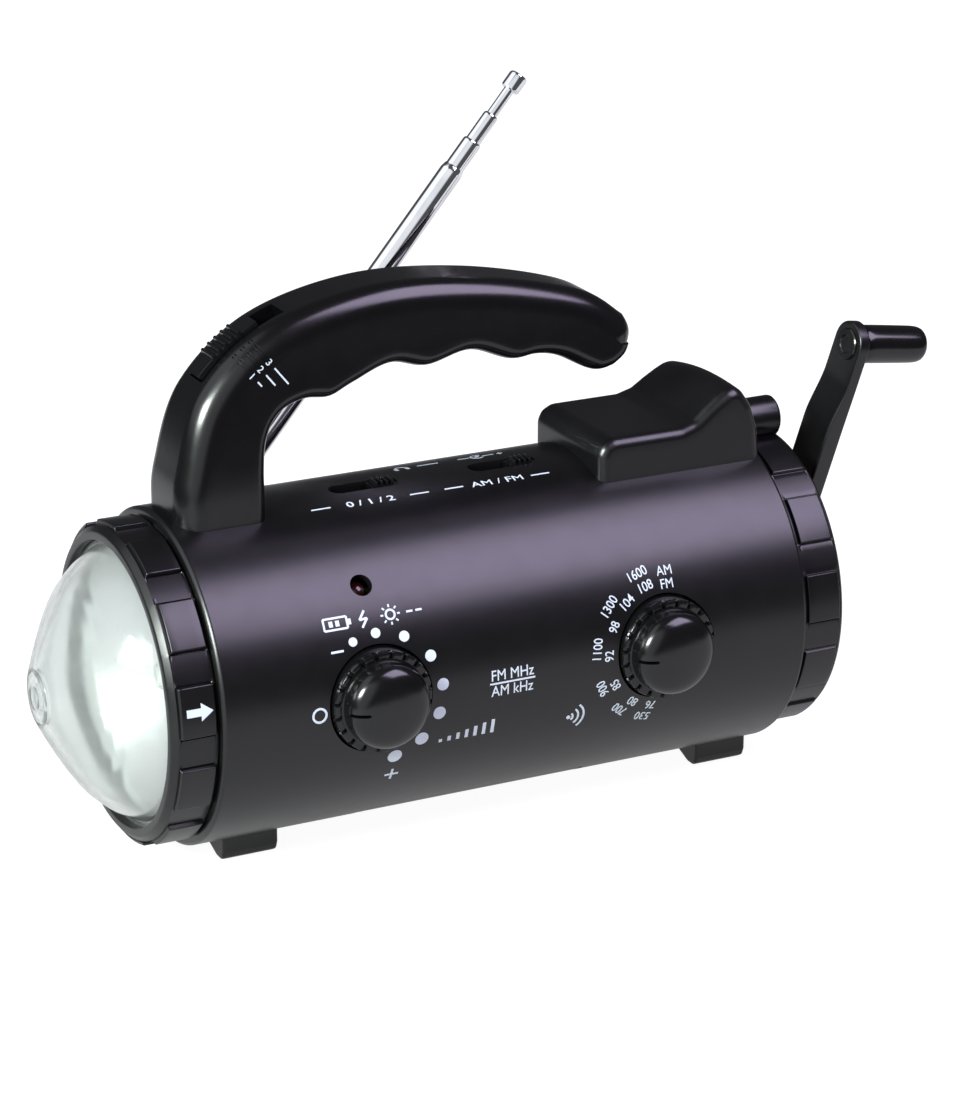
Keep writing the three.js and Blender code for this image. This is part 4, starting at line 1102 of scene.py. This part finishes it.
def stroke(a, b, width):
    """A straight bar between two (x, v) points, wrapped on the barrel."""
    a, b = Vector(a), Vector(b)
    along = (b - a).normalized() * width / 2
    side = Vector((-along.y, along.x))
    steps = max(1, int((b - a).length / 2))
    left = [a.lerp(b, k / steps) + side for k in range(steps + 1)]
    right = [a.lerp(b, k / steps) - side for k in range(steps + 1)]
    return plate(left, right, *INK, 0, wrapped)


def blot(x, degrees, radius, sides=28):
    return prism(circle(radius, sides, (x, around(degrees))), *INK, wrapped)


def polyline(points, width):
    return [stroke(a, b, width) for a, b in zip(points, points[1:])]


def ring_mark(x, v, radius, width, start=0, end=360):
    count = max(6, int((end - start) / 15))
    turns = [math.radians(start + (end - start) * k / count) for k in range(count + 1)]
    return polyline([(x + radius * math.cos(a), v + radius * math.sin(a)) for a in turns], width)


# Marks round a knob stand on rings, printed straight on from the knobs' side. Their places are
# degrees round the knob, from the crank's side upwards.
VOLUME_RING, VOLUME_LIFT = 16.2, -0.4
VOLUME_DOTS = [111, 89, 63, 34, 6, -20, -47, -74]
AM_RING, FM_RING, SCALE_LIFT = 19.3, 15.95, 0.3
AM_SCALE = [("1600", 108), ("1300", 141), ("1100", 173), ("900", 205), ("700", 232), ("530", 256)]
FM_SCALE = [("108", 106), ("104", 129), ("98", 153), ("92", 179), ("85", 209), ("80", 238), ("76", 259)]


def on_ring(node, radius, lift, degrees):
    """The x and the degrees from the top of a place on a ring round a knob."""
    at, a = middle(node), math.radians(degrees)
    z = at.z + lift + radius * math.sin(a)
    return at.x + radius * math.cos(a), math.degrees(math.acos(z / BARREL_R))


def body_marks():
    marks = []
    for i, degrees in enumerate(VOLUME_DOTS):
        marks.append(blot(*on_ring("volume_knob", VOLUME_RING, VOLUME_LIFT, degrees), 1.1 + 0.75 * i / 7))
    marks += [stroke((28.6, around(69.3)), (31.8, around(69.3)), 0.55)]
    marks += [stroke((43.2, around(119.1)), (46.8, around(119.1)), 0.6)]
    marks += [stroke((45, around(119.1) - 1.8), (45, around(119.1) + 1.8), 0.6)]
    marks += ring_mark(24.3, around(89.2), 1.7, 0.55)
    for k in range(7):
        x = 56.5 + 2.3 * k
        foot = around(105.8) - 1.6
        marks.append(stroke((x, foot), (x, foot + 0.9 + 0.5 * k), 0.9))
    marks.append(letters("FM MHz", 3.9, 74.9, 88.4, squeeze=0.86))
    marks.append(letters("AM kHz", 3.9, 74.9, 93.9, squeeze=0.86))
    marks.append(stroke((68.9, around(89.4)), (81, around(89.4)), 0.42))
    for ring, scale in ((AM_RING, AM_SCALE), (FM_RING, FM_SCALE)):
        for text, degrees in scale:
            size = 3.5 if len(text) > 2 else 3.4
            marks.append(dial_number(text, size, *on_ring("tuning_knob", ring, SCALE_LIFT, degrees)))
    marks.append(letters("AM", 3.5, 118.9, 63.0, squeeze=0.86))
    marks.append(letters("FM", 3.5, 118.9, 67.6, squeeze=0.86))
    v = around(108)
    for k in range(3):
        marks += ring_mark(91.2, v, 1.2 + 1.5 * k, 0.5, -50, 50)
    marks.append(blot(91.2, 108, 0.55))
    v = around(60.2)
    marks += polyline([(28, v - 1.4), (34, v - 1.4), (34, v + 1.4), (28, v + 1.4), (28, v - 1.4)], 0.5)
    marks += [stroke((34.6, v - 0.7), (34.6, v + 0.7), 0.8), stroke((29.8, v - 0.7), (29.8, v + 0.7), 1.0),
              stroke((31.5, v - 0.7), (31.5, v + 0.7), 1.0)]
    marks += polyline([(38.8, v + 2.0), (37.2, v - 0.1), (39.2, v + 0.1), (37.6, v - 2.0)], 0.55)
    marks += ring_mark(45.2, v, 1.15, 0.5)
    for k in range(8):
        a = math.radians(45 * k)
        marks.append(stroke((45.2 + 1.8 * math.cos(a), v + 1.8 * math.sin(a)),
                            (45.2 + 2.5 * math.cos(a), v + 2.5 * math.sin(a)), 0.42))
    for x in (50.2, 52.6):
        marks.append(stroke((x - 0.8, v), (x + 0.8, v), 0.5))
    for first, last, labels in ((36.4, 67.5, "0 / 1 / 2"), (71.8, 100.4, "AM / FM")):
        marks.append(letters(labels, 3.0, (first + last) / 2, 16.6, squeeze=1.35))
        marks.append(stroke((first, around(15.2)), (first + 5, around(15.2)), 0.45))
        marks.append(stroke((last - 5, around(15.2)), (last, around(15.2)), 0.45))
    v = around(-7)
    marks += ring_mark(67.5, v - 0.2, 1.5, 0.45, 0, 180)
    marks += [stroke((66, v - 1.4), (66, v), 0.9), stroke((69, v - 1.4), (69, v), 0.9)]
    marks += [stroke((72, v), (77.6, v), 0.45)]
    marks += ring_mark(88.4, v, 1.6, 0.42, 40, 320)
    marks += [blot(88.4, -7, 0.55), stroke((83.2, v), (86.2, v), 0.42), stroke((90, v), (93, v), 0.42)]
    marks += [stroke((94, v), (95.4, v), 0.4), stroke((94.7, v - 0.7), (94.7, v + 0.7), 0.4)]
    finish_print(build("dial_print", join(*marks)), "body")


def finish_print(obj, body):
    obj.data.materials.append(PRINT)
    for face in obj.data.polygons:
        face.use_smooth = False
    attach(obj, body)


def dial_number(text, size, x, degrees):
    """A number round the tuning knob, standing with its foot to the knob's centre."""
    at = middle("tuning_knob")
    out = Vector((x - at.x, around(degrees) - BARREL_R * math.asin(at.z / BARREL_R)))
    tilt = math.degrees(math.atan2(out.y, out.x)) - 90
    foot = Vector((x, around(degrees))) - out.normalized() * size * 0.36
    return letters(text, size, foot.x, 90 - math.degrees(foot.y / BARREL_R), tilt, squeeze=0.86)


def handle_marks():
    """Three numbered lines beside the mode slider's stops."""
    marks = []
    for text, start, end in (("3", (26.3, 78.4), (31.0, 72.5)), ("2", (24.1, 77.0), (27.6, 72.6)),
                             ("1", (21.9, 75.6), (24.2, 72.8))):
        first, last = Vector(start), Vector(end)
        along = (last - first).normalized()
        across = Vector((-along.y, along.x))

        def onto(u, v, w, first=first, along=along, across=across):
            p = first + along * u + across * v
            return Vector((p.x, -HANDLE_HALF[0] * slim(p.y) - w, p.y))

        points, faces = glyphs(text, 2.5)
        marks.append(([onto(p.x, p.y - 0.9, p.z) for p in points], faces))
        length = (last - first).length
        marks.append(prism([Vector(p) for p in ((2.1, -0.2), (length, -0.2), (length, 0.2), (2.1, 0.2))], *INK, onto))
    finish_print(build("handle_print", join(*marks)), "body")


def bezel_arrow():
    """A plain arrow on one pad of the bezel, for the way it turns on."""
    pad_r = mm_box("front_bezel")[1].z
    mid = PAD_PHASE + 30
    shape = [(-8.2, -0.95), (-4.6, -0.95), (-4.6, -2.2), (-1.6, 0.0), (-4.6, 2.2), (-4.6, 0.95), (-8.2, 0.95)]

    def onto(u, v, w):
        a = math.radians(mid) - v / pad_r
        return Vector((u, -(pad_r + w) * math.sin(a), (pad_r + w) * math.cos(a)))

    finish_print(build("bezel_print", prism([Vector(p) for p in shape], *INK, onto)), "bezel")


# ---------------------------------------------------------------- studio
def aim(obj, place, target):
    obj.location = place
    obj.rotation_euler = (target - place).to_track_quat("-Z", "Y").to_euler()


def softbox(name, toward, distance, size, radiance, colour):
    target = DATUM + Vector((80, 0, 0)) * MM
    data = bpy.data.lights.new(name, "AREA")
    data.shape = "RECTANGLE"
    data.size, data.size_y = size
    data.energy = radiance * math.pi * size[0] * size[1]
    data.color = colour
    light = bpy.data.objects.new(name, data)
    bpy.context.scene.collection.objects.link(light)
    aim(light, target + Vector(toward).normalized() * distance, target)
    light.visible_camera = False


CAMERA_PLACE = (-294.1, -765.0, 326.7)
CAMERA_TARGET = (88.0977, 4.2612, 16.8658)
CAMERA_LENS = 119.28
ROOM = 0.08
CARDS = [  # white cards round the set: direction, cosine at their edge, radiance
    ((-0.62, -0.72, 0.30), 0.78, 0.8),
    ((-0.72, 0.20, 0.62), 0.80, 1.1),
]
FLOOR = [(-0.38, -0.30), (1.2, 1.2)]  # its corners round the barrel's front edge, in metres


def studio():
    scene = bpy.context.scene
    scene.view_settings.view_transform = "Standard"
    data = bpy.data.cameras.new("camera")
    data.lens = CAMERA_LENS
    data.sensor_width = 36
    data.clip_end = 30
    camera = bpy.data.objects.new("camera", data)
    scene.collection.objects.link(camera)
    spot = DATUM + Vector(CAMERA_PLACE) * MM
    target = DATUM + Vector(CAMERA_TARGET) * MM
    aim(camera, spot, target)
    scene.camera = camera

    world = bpy.data.worlds.new("studio")
    scene.world = world
    world.use_nodes = True
    tree = world.node_tree
    tree.nodes.clear()
    out = tree.nodes.new("ShaderNodeOutputWorld")
    seen, felt = tree.nodes.new("ShaderNodeBackground"), tree.nodes.new("ShaderNodeBackground")
    seen.inputs["Color"].default_value = (1, 1, 1, 1)
    felt.inputs["Color"].default_value = (0.92, 0.94, 1.0, 1)
    way = tree.nodes.new("ShaderNodeTexCoord").outputs["Generated"]
    glow = None
    for card, start, most in CARDS:
        toward = tree.nodes.new("ShaderNodeVectorMath")
        toward.operation = "DOT_PRODUCT"
        toward.inputs[1].default_value = Vector(card).normalized()
        tree.links.new(way, toward.inputs[0])
        patch = tree.nodes.new("ShaderNodeMapRange")
        patch.interpolation_type = "SMOOTHSTEP"
        for key, number in zip(("From Min", "From Max", "To Min", "To Max"), (start, start + 0.14, 0, most)):
            patch.inputs[key].default_value = number
        tree.links.new(toward.outputs["Value"], patch.inputs["Value"])
        total = tree.nodes.new("ShaderNodeMath")
        total.inputs[0].default_value = ROOM
        if glow:
            tree.links.new(glow, total.inputs[0])
        tree.links.new(patch.outputs["Result"], total.inputs[1])
        glow = total.outputs[0]
    tree.links.new(glow, felt.inputs["Strength"])
    mix = tree.nodes.new("ShaderNodeMixShader")
    path = tree.nodes.new("ShaderNodeLightPath")
    either = tree.nodes.new("ShaderNodeMath")
    either.operation = "MAXIMUM"
    tree.links.new(path.outputs["Is Camera Ray"], either.inputs[0])
    tree.links.new(path.outputs["Is Transmission Ray"], either.inputs[1])
    tree.links.new(either.outputs[0], mix.inputs["Fac"])
    tree.links.new(felt.outputs[0], mix.inputs[1])
    tree.links.new(seen.outputs[0], mix.inputs[2])
    tree.links.new(mix.outputs[0], out.inputs["Surface"])

    softbox("key", (0.42, -0.45, 0.785), 1.2, (0.85, 0.75), 7.6, (0.82, 0.71, 1.0))
    softbox("side", (-0.80, -0.32, 0.44), 1.2, (0.40, 0.32), 70.0, (0.90, 1.0, 0.94))

    floor = bpy.data.meshes.new("floor")
    low = CAD_BOX[0][2]
    (x0, y0), (x1, y1) = FLOOR
    floor.from_pydata([(x0, y0, low), (x1, y0, low), (x1, y1, low), (x0, y1, low)], [], [[0, 1, 2, 3]])
    ground = bpy.data.objects.new("floor", floor)
    scene.collection.objects.link(ground)
    n = Nodes("floor_paper")
    shader = n.principled(Roughness=0.9, Base_Color=(0.2, 0.2, 0.2, 1), Emission_Color=(1, 1, 1, 1))
    n.link(n.bump(n.noise(3, 2), 0.05, 0.02), shader.inputs["Normal"])
    path = n.add("ShaderNodeLightPath")
    n.link(n.spread(path.outputs["Is Camera Ray"], 0.46, 0.95, 0, 1), shader.inputs["Emission Strength"])
    floor.materials.append(n.material)


barrel()
bezel()
rear_cap()
lamp()
charge_lamp()
handle()
mode_slider()
housing()
feet()
knob("volume_dial", "volume_knob", "volume")
knob("tuning_dial", "tuning_knob", "tuning")
top_slider("power_slide_key", "power_slider", "power_slide")
top_slider("band_slide_key", "band_slider", "band_slide")
crank()
antenna()
body_marks()
handle_marks()
bezel_arrow()
studio()
